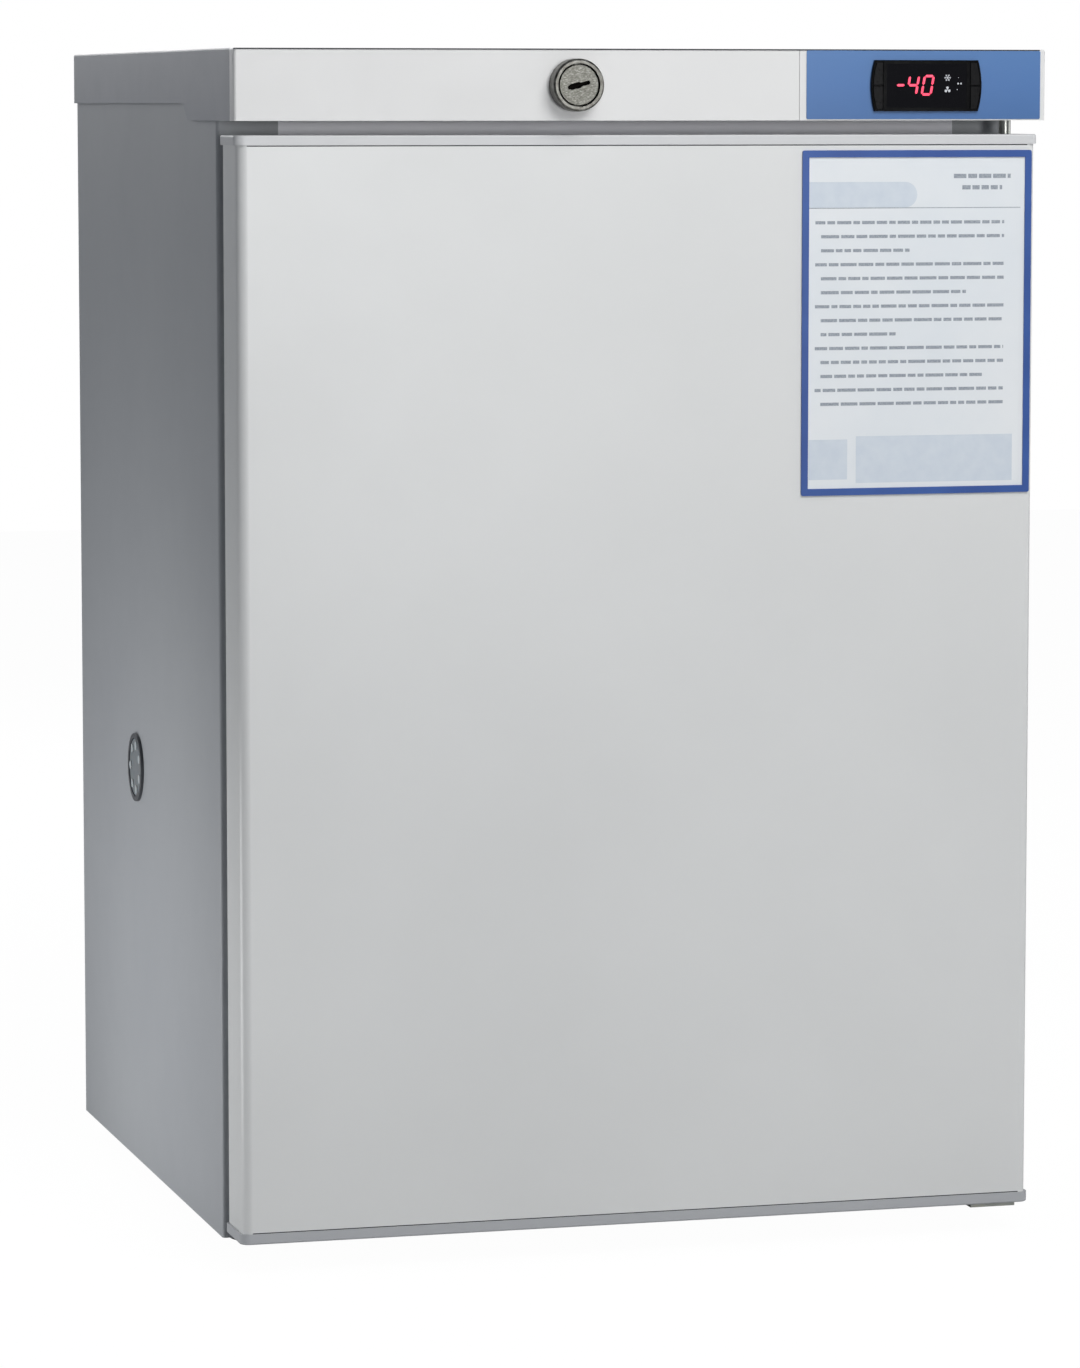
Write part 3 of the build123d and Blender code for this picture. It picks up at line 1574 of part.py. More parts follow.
# Condenser wires: upright wires welded to the front and the back of the tube
wire_span = condenser_width - condenser_pitch - 2 * tube_radius
wire_length = condenser_levels[-1] - condenser_levels[0] + 2 * wire_overhang
wire_offset = tube_radius + wire_radius * cos(radians(180 / small_round_sides))
with BuildPart() as condenser_wires:
    with BuildSketch(Plane.XY.offset(condenser_levels[0] - wire_overhang)):
        for face_side in (-1, 1):
            with Locations((0, condenser_y + face_side * wire_offset)):
                with GridLocations(wire_span / (wire_count - 1), 1, wire_count, 1):
                    RegularPolygon(wire_radius, small_round_sides)
    extrude(amount=wire_length)
condenser_wires.part.label = "condenser_wires"
export_step(condenser_wires.part, "parts/condenser_wires.step")

# Condenser clips: stand-offs on the back panel that hold the outer tube runs
clip_levels = [condenser_levels[1], condenser_levels[-2]]
clip_x = condenser_half - condenser_pitch
with BuildPart() as condenser_clips:
    for level in clip_levels:
        for side in (-1, 1):
            wire_step = wire_span / (wire_count - 1)
            clip_centre = side * (round(clip_x / wire_step - 0.5) + 0.5) * wire_step
            clip_centre = clip_centre + side * wire_step / 2
            with Locations((clip_centre, (back_plane + condenser_y) / 2, level)):
                Box(wire_step - 2 * wire_radius - clip_play, condenser_y - back_plane, clip_height)
    for level in clip_levels:
        add(
            rod((-cover_half, condenser_y, level), (1, 0, 0), tube_radius + fit_gap, cover_width),
            mode=Mode.SUBTRACT,
        )
condenser_clips.part.label = "condenser_clips"
export_step(condenser_clips.part, "parts/condenser_clips.step")

# Filter drier: a swaged copper bottle that hangs between the condenser and the capillary
liquid_x = -condenser_half - liquid_offset
discharge_x = -condenser_half - discharge_offset
drier_top = alcove_top - drier_drop
with BuildPart() as filter_drier:
    drier_foot = (liquid_x, condenser_y, drier_top - drier_length)
    with BuildSketch(Plane(origin=drier_foot, x_dir=(1, 0, 0), z_dir=(0, -1, 0))):
        with BuildLine():
            Polyline(
                (0, 0),
                (drier_neck, 0),
                (drier_neck, drier_neck_length),
                (drier_radius, drier_neck_length + drier_shoulder),
                (drier_radius, drier_length - drier_neck_length - drier_shoulder),
                (drier_neck, drier_length - drier_neck_length),
                (drier_neck, drier_length),
                (0, drier_length),
                close=True,
            )
        make_face()
    revolve(axis=Axis((liquid_x, condenser_y, 0), (0, 0, 1)))
filter_drier.part.label = "filter_drier"
export_step(filter_drier.part, "parts/filter_drier.step")

# Refrigerant lines: copper tubes outside the chamber, then the risers between the shelves
shell_back = compressor_y + compressor_width / 2
line_top = alcove_top - line_clearance
line_bottom = drier_top - drier_length - 5 * line_bend
suction_x = compressor_x + compressor_length / 2 + suction_offset
discharge_port_z = shell_bottom + compressor_shell_height * discharge_port_share
suction_port_z = shell_bottom + compressor_shell_height * suction_port_share
outer_lines = [
    # Discharge, from the shell up to the top run of the condenser
    (
        discharge_radius,
        [
            (compressor_x - port_spread, shell_back, discharge_port_z),
            (compressor_x - port_spread, condenser_y, discharge_port_z),
            (compressor_x - port_spread, condenser_y, line_bottom),
            (discharge_x, condenser_y, line_bottom),
            (discharge_x, condenser_y, condenser_levels[-1]),
            (-condenser_half, condenser_y, condenser_levels[-1]),
        ],
    ),
    # Liquid, from the lowest run down to the drier
    (
        discharge_radius,
        [
            (-condenser_half, condenser_y, condenser_levels[0]),
            (liquid_x, condenser_y, condenser_levels[0]),
            (liquid_x, condenser_y, drier_top),
        ],
    ),
    # Capillary, from the drier round to the wall of the alcove
    (
        capillary_radius,
        [
            (liquid_x, condenser_y, drier_top - drier_length),
            (liquid_x, condenser_y, drier_top - drier_length - 2 * line_bend),
            (liquid_x + 3 * line_bend, condenser_y, drier_top - drier_length - 2 * line_bend),
            (liquid_x + 3 * line_bend, condenser_y, line_top - 2 * line_bend),
            (liquid_x + 3 * line_bend, alcove_front, line_top - 2 * line_bend),
        ],
    ),
    # Suction, from the wall of the alcove over the compressor and down into its shell
    (
        suction_radius,
        [
            (suction_x, alcove_front, line_top),
            (suction_x, condenser_y, line_top),
            (compressor_x + port_spread, condenser_y, line_top),
            (compressor_x + port_spread, condenser_y, suction_port_z),
            (compressor_x + port_spread, shell_back, suction_port_z),
        ],
    ),
]
riser_x = channel_reach + 2 * riser_radius + channel_width / 2
riser_y = chamber_rear - shelf_rear_gap / 2
with BuildPart() as refrigerant_lines:
    for radius, points in outer_lines:
        add(bent_tube(points, line_bend, radius, small_round_sides))
    for lower, upper, side in zip(shelf_levels[:-1], shelf_levels[1:], (-1, 1)):
        add(
            bent_tube(
                [
                    (side * riser_x, ledge_rear - riser_reach, lower - riser_radius),
                    (side * riser_x, riser_y, lower - riser_radius),
                    (side * riser_x, riser_y, upper - riser_radius),
                    (side * riser_x, ledge_rear - riser_reach, upper - riser_radius),
                ],
                line_bend,
                riser_radius,
                small_round_sides,
            )
        )
    # The lowest shelf is fed through the back of the liner
    add(
        rod(
            (riser_x, ledge_rear - riser_reach, shelf_levels[0] - riser_radius),
            (0, 1, 0),
            riser_radius,
            chamber_rear - ledge_rear + riser_reach,
        )
    )
refrigerant_lines.part.label = "refrigerant_lines"
export_step(refrigerant_lines.part, "parts/refrigerant_lines.step")

# Power inlet: a recessed socket body with three pins
inlet_plane = Plane(origin=(inlet_tab_x, plate_rear, inlet_z), x_dir=(-1, 0, 0), z_dir=(0, 1, 0))
with BuildPart() as power_inlet:
    with BuildSketch(inlet_plane):
        Rectangle(inlet_width, inlet_height)
    extrude(amount=-inlet_depth)
    with BuildSketch(inlet_plane):
        RectangleRounded(inlet_flange_width, inlet_flange_height, inlet_flange_corner)
    extrude(amount=inlet_flange_wall)
    with BuildSketch(inlet_plane.offset(inlet_flange_wall)):
        Rectangle(inlet_width - 2 * inlet_wall, inlet_height - 2 * inlet_wall)
        chamfer([v for v in vertices() if v.Z > inlet_z], inlet_key)
    extrude(amount=-inlet_pin_length - inlet_flange_wall, mode=Mode.SUBTRACT)
    with BuildSketch(inlet_plane.offset(-inlet_pin_length)):
        pin_row = -inlet_pin_height / 2
        with Locations((-inlet_pin_pitch, pin_row), (0, -pin_row), (inlet_pin_pitch, pin_row)):
            Rectangle(inlet_pin_width, inlet_pin_height)
    extrude(amount=inlet_pin_length - inlet_pin_recess)
power_inlet.part.label = "power_inlet"
export_step(power_inlet.part, "parts/power_inlet.step")

# Wiring harness: from the controller over the top panel and down to the inlet
harness_x = cabinet_inner_half - harness_clearance
harness_z = cabinet_top + harness_radius + fit_gap
harness_ramp_start = housing_back + harness_first_run
with BuildPart() as wiring_harness:
    add(
        bent_tube(
            [
                (controller_centre_x, housing_back, controller_centre_z),
                (controller_centre_x, harness_ramp_start, controller_centre_z),
                (controller_centre_x, harness_ramp_start + harness_ramp, harness_z),
                (controller_centre_x, back_plane - harness_turn_start, harness_z),
                (harness_x, back_plane - harness_turn_end, harness_z),
                (harness_x, back_plane + harness_drop_y, harness_z),
                (harness_x, back_plane + harness_drop_y, inlet_z + harness_inlet_rise),
                (inlet_tab_x, plate_rear - inlet_depth - harness_inlet_run, inlet_z),
                (inlet_tab_x, plate_rear - inlet_depth, inlet_z),
            ],
            harness_bend,
            harness_radius,
            round_sides,
        )
    )
wiring_harness.part.label = "wiring_harness"
export_step(wiring_harness.part, "parts/wiring_harness.step")

# Foot inserts: threaded tubes in the base that take the feet
with BuildPart() as foot_inserts:
    with BuildSketch(Plane.XY.offset(foot_height)):
        with Locations(front_feet + rear_feet):
            Circle(insert_radius)
            Circle(foot_stem_radius + foot_stem_gap, mode=Mode.SUBTRACT)
    extrude(amount=foot_insert_height)
foot_inserts.part.label = "foot_inserts"
export_step(foot_inserts.part, "parts/foot_inserts.step")

# Levelling feet: a moulded pad with a nut and a threaded stem
foot_places = {
    "foot_front_left": front_feet[0],
    "foot_front_right": front_feet[1],
    "foot_rear_left": rear_feet[0],
    "foot_rear_right": rear_feet[1],
}
for foot_name, (x, y) in foot_places.items():
    with BuildPart() as foot:
        with BuildSketch(Plane.XY):
            with Locations((x, y)):
                Circle(foot_pad_radius)
        extrude(amount=foot_pad_height)
        chamfer(foot.edges().sort_by(Axis.Z)[-1], foot_pad_edge)
        with BuildSketch(Plane.XY.offset(foot_pad_height)):
            with Locations((x, y)):
                RegularPolygon(foot_nut_radius, 6)
        extrude(amount=foot_nut_height)
        with BuildSketch(Plane.XY.offset(foot_pad_height)):
            with Locations((x, y)):
                Circle(foot_stem_radius)
        extrude(amount=foot_stem_length - foot_stem_inset)
    foot.part.label = foot_name
    export_step(foot.part, f"parts/{foot_name}.step")
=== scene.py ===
import math
import random
import bpy
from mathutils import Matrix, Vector


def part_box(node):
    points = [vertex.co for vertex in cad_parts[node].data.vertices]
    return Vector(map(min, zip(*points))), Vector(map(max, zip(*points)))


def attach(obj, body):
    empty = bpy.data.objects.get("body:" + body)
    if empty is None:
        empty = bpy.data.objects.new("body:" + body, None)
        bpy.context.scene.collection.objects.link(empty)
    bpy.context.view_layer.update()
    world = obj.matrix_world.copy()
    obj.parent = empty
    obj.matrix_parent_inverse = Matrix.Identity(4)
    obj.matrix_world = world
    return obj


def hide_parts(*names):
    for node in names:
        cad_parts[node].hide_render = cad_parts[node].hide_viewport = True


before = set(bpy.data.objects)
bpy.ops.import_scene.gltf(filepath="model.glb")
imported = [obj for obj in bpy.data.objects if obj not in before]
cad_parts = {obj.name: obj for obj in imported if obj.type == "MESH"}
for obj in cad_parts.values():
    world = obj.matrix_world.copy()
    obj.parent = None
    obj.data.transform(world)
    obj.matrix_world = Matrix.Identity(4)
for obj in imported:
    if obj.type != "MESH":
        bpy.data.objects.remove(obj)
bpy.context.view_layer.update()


# Outer steel: folded sheet with a light grey powder coat, cured on the panel before it is
# fitted round the foam. The coat keeps a fine orange peel and drifts slightly in shade.
def linear(code):
    """An sRGB hex code as the linear colour that the nodes take."""
    parts = [int(code[i:i + 2], 16) / 255 for i in (1, 3, 5)]
    return tuple(c / 12.92 if c <= 0.04045 else ((c + 0.055) / 1.055) ** 2.4 for c in parts) + (1.0,)


def add_node(tree, kind, inputs=(), **settings):
    """Adds a node, changes its settings, and sets or links its inputs by name or number."""
    made = tree.nodes.new(kind)
    for name, value in settings.items():
        setattr(made, name, value)
    for name, value in dict(inputs).items():
        if isinstance(value, bpy.types.NodeSocket):
            tree.links.new(value, made.inputs[name])
        else:
            made.inputs[name].default_value = value
    return made


def new_material(name, colour, roughness, metallic=0.0, **inputs):
    """Starts a material and gives its tree, its shader and the piece's own coordinates."""
    material = bpy.data.materials.new(name)
    material.use_nodes = True
    tree = material.node_tree
    tree.nodes.clear()
    values = {"Base Color": linear(colour), "Roughness": roughness, "Metallic": metallic}
    values.update({key.replace("_", " "): value for key, value in inputs.items()})
    shader = add_node(tree, "ShaderNodeBsdfPrincipled", values)
    add_node(tree, "ShaderNodeOutputMaterial", {"Surface": shader.outputs["BSDF"]})
    place = add_node(tree, "ShaderNodeTexCoord").outputs["Object"]
    return material, tree, shader, place


def mottle(tree, place, millimetres, detail, stretch=(1, 1, 1)):
    """Cloudy blotches of a real size, drawn out along an axis where its stretch is below 1."""
    spread = add_node(tree, "ShaderNodeMapping", {"Vector": place, "Scale": stretch})
    cloud = add_node(
        tree, "ShaderNodeTexNoise",
        {"Vector": spread.outputs[0], "Scale": 1000 / millimetres, "Detail": detail},
    )
    return cloud.outputs["Fac"]


def tint(tree, shader, value, *stops, socket="Base Color"):
    """Colours the surface by a 0 to 1 value; each stop is a position and a hex code."""
    made = add_node(tree, "ShaderNodeValToRGB", {"Fac": value})
    elements = made.color_ramp.elements
    while len(elements) < len(stops):
        elements.new(0.5)
    for element, (position, code) in zip(elements, stops):
        element.position = position
        element.color = linear(code)
    tree.links.new(made.outputs["Color"], shader.inputs[socket])
    return made.outputs["Color"]


def sheen(tree, shader, value, low, high):
    """Varies the roughness between two values by a 0 to 1 value."""
    made = add_node(tree, "ShaderNodeMapRange", {"Value": value, "To Min": low, "To Max": high})
    tree.links.new(made.outputs["Result"], shader.inputs["Roughness"])


def relief(tree, shader, height, millimetres, strength, under=None):
    """Raises the surface by a height of so many millimetres, over an earlier relief."""
    values = {"Height": height, "Distance": millimetres / 1000, "Strength": strength}
    if under is not None:
        values["Normal"] = under
    made = add_node(tree, "ShaderNodeBump", values)
    tree.links.new(made.outputs["Normal"], shader.inputs["Normal"])
    return made.outputs["Normal"]


def dress(material, *nodes):
    """Puts a material on nodes whose shape stays as it is."""
    for name in nodes:
        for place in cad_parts[name].material_slots:
            place.material = material


enamel, tree, shader, place = new_material(
    "light grey powder coat", "#dcdddc", 0.42, Coat_Weight=0.12, Coat_Roughness=0.25
)
tint(tree, shader, mottle(tree, place, 260, 3), (0.3, "#d8d9d8"), (0.7, "#dedfde"))
sheen(tree, shader, mottle(tree, place, 35, 4), 0.38, 0.47)
peel = relief(tree, shader, mottle(tree, place, 1.6, 2), 0.03, 0.35)
relief(tree, shader, mottle(tree, place, 0.35, 1), 0.01, 0.25, peel)
dress(enamel, "door_panel")

# The sides have a darker and duller coat of the same kind; the darker grey is painted shade
shaded_side_coat, tree, shader, place = new_material("side powder coat with painted shade", "#a6a9ad", 0.5)
tint(tree, shader, mottle(tree, place, 300, 3), (0.3, "#a2a5a9"), (0.7, "#aaadb0"))
sheen(tree, shader, mottle(tree, place, 30, 4), 0.45, 0.55)
peel = relief(tree, shader, mottle(tree, place, 1.4, 2), 0.04, 0.4)
relief(tree, shader, mottle(tree, place, 0.3, 1), 0.012, 0.3, peel)
dress(shaded_side_coat, "left_side_panel", "right_side_panel")

# Front rails: the channels above and below the door opening. Their nearly white coat is painted
# light, so that they stay bright in the shaded gap over the closed door
rails_painted_light, tree, shader, place = new_material("rail coat painted pale as light", "#f2f2f8", 0.4)
sheen(tree, shader, mottle(tree, place, 30, 3), 0.34, 0.46)
relief(tree, shader, mottle(tree, place, 1.6, 2), 0.03, 0.35)
dress(rails_painted_light, "front_rails")

# Hidden sheets: hot-dip galvanised steel, folded and closed round the foam. The zinc froze
# in flat crystals, each with its own shade, and carries faint rolling lines.
crystal_millimetres = 12
zinc_sheet, tree, shader, place = new_material("hot-dip galvanised sheet", "#a9adb0", 0.4, 0.85)
crystals = add_node(tree, "ShaderNodeTexVoronoi", {"Vector": place, "Scale": 1000 / crystal_millimetres})
shade = add_node(tree, "ShaderNodeSeparateColor", {"Color": crystals.outputs["Color"]})
tint(tree, shader, shade.outputs["Red"], (0.0, "#9a9fa3"), (0.55, "#adb1b4"), (1.0, "#bcc0c2"))
sheen(tree, shader, shade.outputs["Green"], 0.3, 0.52)
relief(tree, shader, mottle(tree, place, 0.8, 2, (1, 1, 0.05)), 0.01, 0.3)
dress(zinc_sheet, "back_panel", "top_panel", "base_pan", "alcove_panel", "compressor_plate")

# Foam: rigid polyurethane poured between the sheets, where it bonds to both. Its small
# closed cells give a dull, pitted yellow skin.
cell_millimetres = 1.5
foam, tree, shader, place = new_material("rigid polyurethane foam", "#dccb96", 0.85)
cells = add_node(tree, "ShaderNodeTexVoronoi", {"Vector": place, "Scale": 1000 / cell_millimetres})
tint(tree, shader, mottle(tree, place, 40, 3), (0.3, "#d3bf86"), (0.7, "#e3d4a4"))
relief(tree, shader, cells.outputs["Distance"], 0.4, 0.6)
dress(foam, "cabinet_foam", "door_foam")

# Liner: high-impact polystyrene sheet, drawn hot over a mould for the chamber and for the
# door's inner panel. It comes out glossy, with a soft ripple where the sheet thinned.
liner, tree, shader, place = new_material("drawn white polystyrene", "#e6e9e9", 0.22)
sheen(tree, shader, mottle(tree, place, 25, 3), 0.16, 0.3)
ripple = relief(tree, shader, mottle(tree, place, 22, 2), 0.12, 0.25)
relief(tree, shader, mottle(tree, place, 0.5, 2), 0.015, 0.2, ripple)
dress(liner, "inner_liner", "door_liner")

# Mouldings: satin ABS with a spark-eroded texture that breaks up the shine. The fascia and
# the display panel clip to the front of the lid and come out of one light grey batch.
moulded, tree, shader, place = new_material("satin light grey moulding", "#dededd", 0.38)
tint(tree, shader, mottle(tree, place, 180, 2), (0.3, "#dadad9"), (0.7, "#e0e0df"))
sheen(tree, shader, mottle(tree, place, 18, 3), 0.34, 0.44)
relief(tree, shader, mottle(tree, place, 0.45, 3), 0.02, 0.35)
dress(moulded, "control_fascia", "display_panel")

# Lid: a deep ABS moulding that drops over the top of the cabinet. Its blue grey is painted
# shade, matched to the shaded steel sides, and it is duller than the bare mouldings.
lid_painted_shade, tree, shader, place = new_material("lid moulding greyed as painted shade", "#95989f", 0.45)
tint(tree, shader, mottle(tree, place, 240, 3), (0.3, "#91949b"), (0.7, "#989ba2"))
sheen(tree, shader, mottle(tree, place, 20, 3), 0.4, 0.5)
relief(tree, shader, mottle(tree, place, 0.6, 3), 0.02, 0.4)
dress(lid_painted_shade, "top_cover")

# End caps: satin mouldings that close the folded door panel above and below. The lower one
# is painted darker as shade, where the foot of the door gets less light.
for cap, cap_tone_and_shade in (("door_top_cap", "#cccdce"), ("door_bottom_cap", "#b0b2b5")):
    cap_moulding, tree, shader, place = new_material("satin moulding of " + cap, cap_tone_and_shade, 0.4)
    sheen(tree, shader, mottle(tree, place, 15, 3), 0.35, 0.48)
    relief(tree, shader, mottle(tree, place, 0.45, 3), 0.02, 0.4)
    dress(cap_moulding, cap)

# Breaker frame: the white ring that parts the cold liner from the warm front. The probe's
# cover and the hinge bushes are of the same plain white plastic.
ring_moulding, tree, shader, place = new_material("white breaker moulding", "#dcdfe0", 0.35)
sheen(tree, shader, mottle(tree, place, 12, 3), 0.3, 0.42)
relief(tree, shader, mottle(tree, place, 0.4, 3), 0.02, 0.4)
dress(ring_moulding, "breaker_frame", "probe_cover", "hinge_bushes")

# Display film: polycarbonate printed on its back and bonded to the panel, with a velvet
# face. Its blue deepens a little towards the lower edge.
def along(tree, place, axis, start, end):
    """How far a spot lies from one place to another along an axis, from 0 to 1."""
    value = add_node(tree, "ShaderNodeSeparateXYZ", {"Vector": place}).outputs[axis]
    made = add_node(tree, "ShaderNodeMapRange", {"Value": value, "From Min": start, "From Max": end})
    return made.outputs["Result"]


film, tree, shader, place = new_material("blue printed polycarbonate film", "#6080b0", 0.33)
film_low, film_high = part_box("display_film")
rise = along(tree, place, "Z", film_low.z, film_high.z)
tint(tree, shader, rise, (0.0, "#466da2"), (0.5, "#4d75ac"), (1.0, "#537bb0"))
sheen(tree, shader, mottle(tree, place, 6, 3), 0.28, 0.38)
relief(tree, shader, mottle(tree, place, 0.25, 2), 0.008, 0.4)
dress(film, "display_film")

# Controller: a glossy black polycarbonate front on a housing that clips behind the panel.
# A smoked acrylic window fills its middle, and two keys at each end are worn duller.
black, tree, shader, place = new_material(
    "black moulded polycarbonate", "#040405", 0.16, Specular_IOR_Level=0.22
)
sheen(tree, shader, mottle(tree, place, 5, 3), 0.17, 0.3)
relief(tree, shader, mottle(tree, place, 0.2, 2), 0.006, 0.5)
dress(black, "controller_bezel", "controller_housing")

key_black, tree, shader, place = new_material(
    "black key with a worn face", "#050506", 0.18, Specular_IOR_Level=0.22
)
tint(tree, shader, mottle(tree, place, 2.5, 3), (0.35, "#040405"), (0.75, "#08080a"))
sheen(tree, shader, mottle(tree, place, 1.5, 3), 0.2, 0.42)
dress(key_black, "key_upper_left", "key_lower_left", "key_upper_right", "key_lower_right")

smoked, tree, shader, place = new_material("smoked acrylic window", "#08070a", 0.09)
sheen(tree, shader, mottle(tree, place, 8, 3), 0.05, 0.14)
dress(smoked, "display_window")


# Reading: seven-segment figures and a minus sign that glow red, slanted by ten degrees. At
# their right are a snowflake, a fan and lamp dots in white light. The window is opaque here,
# so they all lie on its face.
def add_piece(name, mesh, material):
    """Makes an object of a finished mesh and gives it its material."""
    made = bpy.data.objects.new(name, mesh)
    bpy.context.scene.collection.objects.link(made)
    mesh.materials.append(material)
    return made


def mesh_of(name, corners, faces):
    """A mesh from its corners and faces."""
    made = bpy.data.meshes.new(name)
    made.from_pydata(corners, [], faces)
    made.validate()
    made.update()
    return made


def raised_shapes(name, outlines, y, depth):
    """Thin shapes on a wall that faces the front; each outline is a list of (x, z)."""
    corners, faces = [], []
    for outline in outlines:
        start, count = len(corners), len(outline)
        corners += [(x, y, z) for x, z in outline]
        corners += [(x, y - depth, z) for x, z in outline]
        faces.append([start + count + i for i in range(count)])
        faces.append([start + i for i in reversed(range(count))])
        for i in range(count):
            j = (i + 1) % count
            faces.append((start + i, start + j, start + count + j, start + count + i))
    return mesh_of(name, corners, faces)


def bar(x0, z0, x1, z1, width):
    """A bar with pointed ends from one place to another, as an outline."""
    first, last = Vector((x0, z0)), Vector((x1, z1))
    unit = (last - first).normalized()
    side = Vector((-unit.y, unit.x)) * width / 2
    tip = unit * width / 2
    outline = (first, first + tip - side, last - tip - side, last, last - tip + side, first + tip + side)
    return [tuple(p) for p in outline]


def arc(x, z, radius, degrees):
    """Places round a centre at the given angles."""
    return [
        (x + radius * math.cos(math.radians(a)), z + radius * math.sin(math.radians(a)))
        for a in degrees
    ]


glow_red, tree, shader, place = new_material(
    "red segment light", "#3a0610", 0.4, Emission_Strength=1.6
)
tint(
    tree, shader, mottle(tree, place, 1.2, 2), (0.2, "#ff2c50"), (0.8, "#ff5f7c"),
    socket="Emission Color",
)
glow_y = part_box("display_window")[0].y - 0.00002
figure_depth, icon_depth = 0.00006, 0.00004
slant = math.tan(math.radians(10))
digit_width, digit_height, bar_width = 0.0062, 0.0120, 0.0016
digit_left, digit_low, digit_pitch = 0.1772, 0.7676, 0.0102
minus_start, minus_end = 0.0082, 0.0027
segment_gap = 0.00022
middle, top = digit_low + digit_height / 2, digit_low + digit_height
segments = []
for figure, lit in enumerate(("bcfg", "abcdef")):
    left = digit_left + figure * digit_pitch
    right = left + digit_width
    ends = {
        "a": (left, top, right, top), "b": (right, middle, right, top),
        "c": (right, digit_low, right, middle), "d": (left, digit_low, right, digit_low),
        "e": (left, digit_low, left, middle), "f": (left, middle, left, top),
        "g": (left, middle, right, middle),
    }
    for letter in lit:
        x0, z0, x1, z1 = ends[letter]
        gap = Vector((x1 - x0, z1 - z0)).normalized() * segment_gap
        segments.append(bar(x0 + gap.x, z0 + gap.y, x1 - gap.x, z1 - gap.y, bar_width))
segments.append(bar(digit_left - minus_start, middle, digit_left - minus_end, middle, bar_width))
segments = [[(x + (z - digit_low) * slant, z) for x, z in outline] for outline in segments]
reading = add_piece(
    "display_reading", raised_shapes("display_reading", segments, glow_y, figure_depth), glow_red
)
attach(reading, "root")

glow_white, tree, shader, place = new_material(
    "white icon light", "#20242a", 0.4, Emission_Strength=0.75
)
tint(
    tree, shader, mottle(tree, place, 0.8, 2), (0.2, "#c9ced6"), (0.8, "#f3f6fa"),
    socket="Emission Color",
)
icon_x, flake_z, fan_z = 0.2054, 0.7785, 0.7706
ray_length, ray_width = 0.0024, 0.00032
twig_start, twig_length, twig_width, twig_lean = 0.55, 0.0009, 0.00028, 45
blade_length, blade_root, blade_start, blade_step = 0.0022, 0.72, -34, 12
lamp_dots = [
    (0.2128, 0.7747, 0.0006), (0.2148, 0.7747, 0.0006),
    (0.2130, 0.7786, 0.0002), (0.2122, 0.7708, 0.0003),
]
icons = []
for turn in range(6):
    ray = 60 * turn
    [(tip_x, tip_z)] = arc(icon_x, flake_z, ray_length, [ray])
    icons.append(bar(icon_x, flake_z, tip_x, tip_z, ray_width))
    fork_x = icon_x + twig_start * (tip_x - icon_x)
    fork_z = flake_z + twig_start * (tip_z - flake_z)
    for lean in (-twig_lean, twig_lean):
        [(end_x, end_z)] = arc(fork_x, fork_z, twig_length, [ray + lean])
        icons.append(bar(fork_x, fork_z, end_x, end_z, twig_width))
for turn in range(3):
    blade = [(icon_x, fan_z)]
    for part in range(7):
        reach = blade_length * (blade_root + (1 - blade_root) * math.sin(math.pi * (part + 0.5) / 7))
        blade += arc(icon_x, fan_z, reach, [90 + 120 * turn + blade_start + part * blade_step])
    icons.append(blade)
for dot_x, dot_z, dot_radius in lamp_dots:
    icons.append(arc(dot_x, dot_z, dot_radius, range(0, 360, 30)))
symbols = add_piece(
    "display_symbols", raised_shapes("display_symbols", icons, glow_y, icon_depth), glow_white
)
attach(symbols, "root")

# Shadow lines: dark strips painted as shadow in the thin joint where the fascia meets the lid's
# folded edge, and in the joints where the door's end caps meet its steel front. It shows as a matt line.
painted_joint_shadow, tree, shader, place = new_material("painted joint shadow", "#2c2f35", 0.7)
relief(tree, shader, mottle(tree, place, 0.8, 3), 0.02, 0.4)
lid_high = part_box("top_cover")[1]
fascia_low, fascia_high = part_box("control_fascia")
lid_joint_width, lid_joint_depth, lid_wall = 0.0007, 0.0005, 0.004
joint_z = fascia_high.z - 0.0004
lid_joint = bar(fascia_low.x, joint_z, lid_high.x - lid_wall, joint_z, lid_joint_width)
lid_line = add_piece(
    "lid_joint", raised_shapes("lid_joint", [lid_joint], fascia_low.y, lid_joint_depth), painted_joint_shadow
)
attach(lid_line, "root")

steel_low, steel_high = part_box("door_panel")
seam_width, seam_depth, seam_inset, seam_rise = 0.0006, 0.00008, 0.006, 0.0005
seams = [
    bar(steel_low.x + seam_inset, z, steel_high.x - seam_inset, z, seam_width)
    for z in (steel_low.z + seam_rise, steel_high.z - seam_rise)
]
seam_lines = add_piece(
    "cap_joints", raised_shapes("cap_joints", seams, steel_low.y, seam_depth), painted_joint_shadow
)
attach(seam_lines, "door")

# Door lock: a die-cast zinc rosette with worn satin nickel, clamped through the fascia by a
# nut, and a brass plug inside it plated the same way. Wear gives it dark and bright patches.
nickel, tree, shader, place = new_material("worn satin nickel", "#8d8d88", 0.36, 1.0)
wear = mottle(tree, place, 3.5, 5)
tint(tree, shader, wear, (0.3, "#54524d"), (0.5, "#71706b"), (0.72, "#94948f"))
sheen(tree, shader, wear, 0.28, 0.5)
pits = relief(tree, shader, mottle(tree, place, 0.35, 3), 0.02, 0.5)
relief(tree, shader, mottle(tree, place, 0.9, 3, (0.12, 1, 1)), 0.02, 0.4, pits)
dress(nickel, "lock_housing", "lock_nut", "lock_cam")

# The plug's nickel is scratched across its face, and its keyway is painted near black as shade
def coat_over(tree, shader, share, under, code):
    """Covers a colour with another by a share of 0 to 1."""
    made = add_node(tree, "ShaderNodeMix", {0: share, 6: under, 7: linear(code)}, data_type="RGBA")
    tree.links.new(made.outputs[2], shader.inputs["Base Color"])


